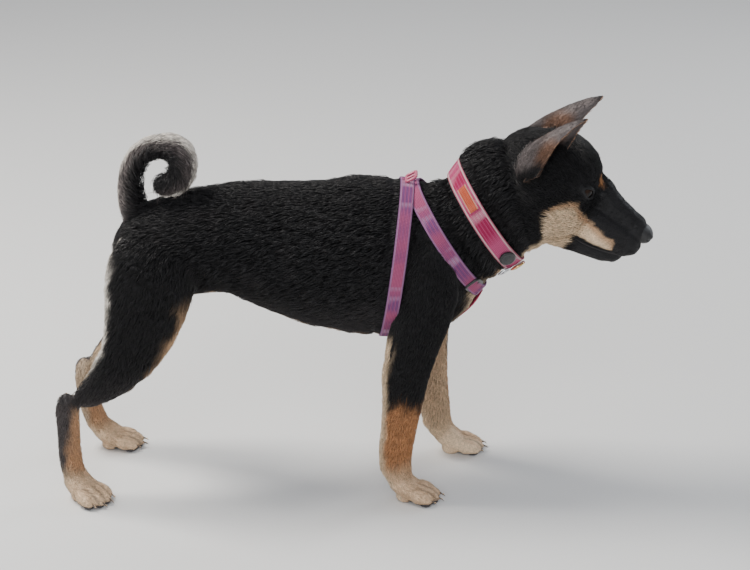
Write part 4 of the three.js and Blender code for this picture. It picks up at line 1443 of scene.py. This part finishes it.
def build_buckle():
    """The collar's oval moulded buckle, crowned and lipped."""
    centre, (first, second, thin), (long, wide, deep) = plate_axes("collar_buckle")
    bm = bmesh.new()
    bmesh.ops.create_uvsphere(bm, u_segments=48, v_segments=32, radius=1.0)
    for vertex in bm.verts:
        x, y, z = vertex.co
        ring = min(1.0, math.hypot(x, y))
        lip = 0.12 * max(0.0, 1 - ((ring - 0.8) / 0.12) ** 2)
        rise = math.copysign(abs(z) ** 0.45, z) * (0.86 + lip)
        vertex.co = centre + first * (x * long / 2) + second * (y * wide / 2) + thin * (rise * deep / 2)
    bmesh.ops.recalc_face_normals(bm, faces=bm.faces)
    oval = finished("collar_buckle_oval", mesh_from(bm, "collar_buckle_oval"), "plastic")
    return finish_piece(oval, ["collar_buckle"])


def build_tag():
    """The gilt rim round the largest loose part of the tag, which is its enamelled disc."""
    bm = bmesh.new()
    bm.from_mesh(node_object("name_tag").data)
    bmesh.ops.remove_doubles(bm, verts=bm.verts, dist=1e-6)
    bm.verts.ensure_lookup_table()
    islands, seen = [], set()
    for vertex in bm.verts:
        if vertex in seen:
            continue
        island, queue = [], [vertex]
        seen.add(vertex)
        while queue:
            here = queue.pop()
            island.append(here.co.copy())
            for edge in here.link_edges:
                other = edge.other_vert(here)
                if other not in seen:
                    seen.add(other)
                    queue.append(other)
        islands.append(np.array(island))
    bm.free()
    disc = max(islands, key=lambda part: np.ptp(part, axis=0).max())
    centre = Vector((disc.min(axis=0) + disc.max(axis=0)) / 2)
    axis = Vector(main_axes(disc)[2])
    path = circle(centre, axis, 6.5 * MM, 56)
    rim = tube(path, lambda t: (0.95 * MM, 0.6 * MM), 10, True, [axis] * len(path))
    return finish_piece(mesh_object("name_tag_rim", *rim, "gilt"))


def soften(name, finish, width):
    """A CAD fitting keeps its shape, with its edges rounded and its finish set."""
    obj = node_object(name)
    bevel = obj.modifiers.new("edges", "BEVEL")
    bevel.width = width * MM
    bevel.segments = 3
    bevel.limit_method = "ANGLE"
    bevel.angle_limit = math.radians(35)
    obj.data.materials.clear()
    obj.data.materials.append(material(finish))


def round_ring(name, node, finish, radius, wire):
    """A smooth wire ring in the plane of its CAD node."""
    corners = points_of(node_object(node).data)
    axis = Vector(main_axes(corners)[2])
    path = circle(Vector(corners.mean(axis=0)), axis, radius * MM, 64)
    ring = tube(path, lambda t: (wire * MM, wire * MM), 12, True, [axis] * len(path))
    return finish_piece(mesh_object(name, *ring, finish), [node])


# Camera, floor and light


def aim(obj, place, direction):
    """Puts a camera or lamp in its place, looking along a direction."""
    obj.location = place
    obj.rotation_mode = "QUATERNION"
    obj.rotation_quaternion = direction.to_track_quat("-Z", "Y")


def build_stage():
    """The camera at the photo's angle, a plain floor and soft light."""
    scene = bpy.context.scene
    elevation = math.radians(CAMERA_ELEVATION)
    back = Vector((0, -math.cos(elevation), math.sin(elevation)))
    data = bpy.data.cameras.new("photo_camera")
    data.sensor_width = 36
    data.lens = data.sensor_width * FOCAL_PIXELS / PHOTO_WIDTH
    camera = link(bpy.data.objects.new("photo_camera", data))
    aim(camera, SHIFT + Vector((0, 0, CAMERA_AIM)) + back * CAMERA_DISTANCE, -back)
    scene.camera = camera
    bm = bmesh.new()
    bmesh.ops.create_grid(bm, x_segments=2, y_segments=2, size=6)
    finished("floor", mesh_from(bm, "floor"), "floor")
    world = bpy.data.worlds.new("studio")
    scene.world = world
    world.use_nodes = True
    world.node_tree.nodes["Background"].inputs["Color"].default_value = (0.9, 0.93, 1.0, 1)
    world.node_tree.nodes["Background"].inputs["Strength"].default_value = 0.5
    lamps = (
        ("key", (-1.0, 0.3, 1.7), 50, 0.7, (1.0, 0.96, 0.9)),
        ("front", (-0.3, -1.8, 1.3), 24, 1.4, (0.96, 0.98, 1.0)),
        ("rim", (1.6, 1.2, 1.0), 12, 0.8, (0.9, 0.95, 1.0)),
    )
    for name, place, power, size, colour in lamps:
        lamp = bpy.data.lights.new(name, "AREA")
        lamp.energy = power
        lamp.size = size
        lamp.color = colour
        holder = link(bpy.data.objects.new(name, lamp))
        aim(holder, place, Vector((0, 0, 0.2)) - Vector(place))


# The add-on


def tint_property(name, description, default):
    return FloatVectorProperty(
        name=name, description=description, default=default, size=3, min=0.0, max=1.0, subtype="COLOR"
    )


class ShibaColours(bpy.types.PropertyGroup):
    """The main colours of the coat and the webbing, linear."""

    black: tint_property("Black", "The black of the back, head and thighs", BLACK)
    orange: tint_property("Orange", "The warm brown of the forelegs and brow spots", ORANGE)
    cream: tint_property("Cream", "The pale cheeks, chest, inner legs and paws", CREAM)
    white: tint_property("White", "The palest hair of the breeches and the tail's outer side", WHITE)
    collar: tint_property("Collar", "The deepest colour of the collar's webbing", (0.42, 0.015, 0.09))
    harness: tint_property("Harness", "The deepest colour of the harness's webbing", (0.22, 0.07, 0.22))


class ShibaSettings(bpy.types.PropertyGroup):
    """What drives the skin and the coat."""

    body_voxel: FloatProperty(
        name="Body cell", description="Cell size of the body's skin in mm", default=1.6, min=1.0, max=6.0
    )
    head_voxel: FloatProperty(
        name="Head cell", description="Cell size of the head's skin in mm", default=1.0, min=0.6, max=3.0
    )
    swell: FloatProperty(
        name="Swell", description="Growth of each node over the cuts, in mm", default=0.3, min=0.2, max=1.0
    )
    density: FloatProperty(
        name="Density", description="Tufts compared with the full coat", default=0.42, min=0.02, max=2.0
    )
    seed: IntProperty(name="Seed", description="Seed of the coat's randomness", default=7)
    piece_triangles: IntProperty(
        name="Piece triangles", description="Most triangles in one coat piece", default=190000, max=199000
    )


class SHIBA_OT_skin(bpy.types.Operator):
    """Builds the one skin that stands for the flesh nodes"""

    bl_idname = "shiba.skin"
    bl_label = "Build Skin"

    def execute(self, context):
        skin = build_skin(context.scene.shiba)
        points, normals = points_of(skin.data), normals_of(skin.data)
        paint(skin, markings(points, normals, nearest_regions(points)))
        finish_piece(skin, FLESH)
        return {"FINISHED"}


class SHIBA_OT_coat(bpy.types.Operator):
    """Covers the skin with tufts that follow the lie of the coat"""

    bl_idname = "shiba.coat"
    bl_label = "Build Coat"

    def execute(self, context):
        build_coat(bpy.data.objects["skin"], context.scene.shiba)
        return {"FINISHED"}


class SHIBA_OT_face(bpy.types.Operator):
    """Builds the eyes, lids, nose leather and lip line"""

    bl_idname = "shiba.face"
    bl_label = "Build Face"

    def execute(self, context):
        build_eye("eye_left_ball", 1)
        build_eye("eye_right_ball", -1)
        build_lids()
        build_nose()
        build_lips(bpy.data.objects["skin"])
        build_whiskers(bpy.data.objects["skin"])
        return {"FINISHED"}


class SHIBA_OT_feet(bpy.types.Operator):
    """Builds the claws and pads"""

    bl_idname = "shiba.feet"
    bl_label = "Build Claws and Pads"

    def execute(self, context):
        build_claws()
        build_pads()
        return {"FINISHED"}


class SHIBA_OT_webbing(bpy.types.Operator):
    """Builds the collar, the harness and their fittings"""

    bl_idname = "shiba.webbing"
    bl_label = "Build Webbing"

    def execute(self, context):
        build_strap("collar", COLLAR, "collar")
        build_strap("harness_girth", GIRTH, "harness")
        build_strap("harness_neck", NECK_LOOP, "harness")
        build_strap("harness_breast", BREAST, "breast", (-30, 60))
        patch = (*COLLAR[:3], 10.0)
        build_strap("collar", patch, "label", (-58, -30), 0.7, "collar_label_patch")
        build_slider("harness_slider", "rose", NECK_LOOP[1])
        build_slider("chest_slider", "plastic", NECK_LOOP[1])
        build_buckle()
        build_tag()
        round_ring("collar_split_ring", "collar_ring", "steel", 6.0, 0.95)
        soften("name_tag", "tag", 0.3)
        return {"FINISHED"}


class SHIBA_OT_stage(bpy.types.Operator):
    """Sets the camera, floor and soft light"""

    bl_idname = "shiba.stage"
    bl_label = "Set Stage"

    def execute(self, context):
        build_stage()
        return {"FINISHED"}


class SHIBA_PT_panel(bpy.types.Panel):
    """Buttons in the order in which they are run"""

    bl_idname = "SHIBA_PT_panel"
    bl_label = "Shiba Inu"
    bl_space_type = "VIEW_3D"
    bl_region_type = "UI"
    bl_category = "Shiba"

    def draw(self, context):
        for settings in (context.scene.shiba, context.scene.shiba_colours):
            for field in type(settings).__annotations__:
                self.layout.prop(settings, field)
        for operator in STAGES:
            self.layout.operator(operator.bl_idname)


STAGES = (SHIBA_OT_skin, SHIBA_OT_coat, SHIBA_OT_face, SHIBA_OT_feet, SHIBA_OT_webbing, SHIBA_OT_stage)
CLASSES = (ShibaColours, ShibaSettings, *STAGES, SHIBA_PT_panel)


def register():
    for item in CLASSES:
        bpy.utils.register_class(item)
    bpy.types.Scene.shiba = PointerProperty(type=ShibaSettings)
    bpy.types.Scene.shiba_colours = PointerProperty(type=ShibaColours)


def unregister():
    del bpy.types.Scene.shiba_colours
    del bpy.types.Scene.shiba
    for item in reversed(CLASSES):
        bpy.utils.unregister_class(item)


def main():
    register()
    bpy.ops.shiba.skin()
    bpy.ops.shiba.coat()
    bpy.ops.shiba.face()
    bpy.ops.shiba.feet()
    bpy.ops.shiba.webbing()
    bpy.ops.shiba.stage()
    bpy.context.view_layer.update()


if __name__ == "__main__":
    main()
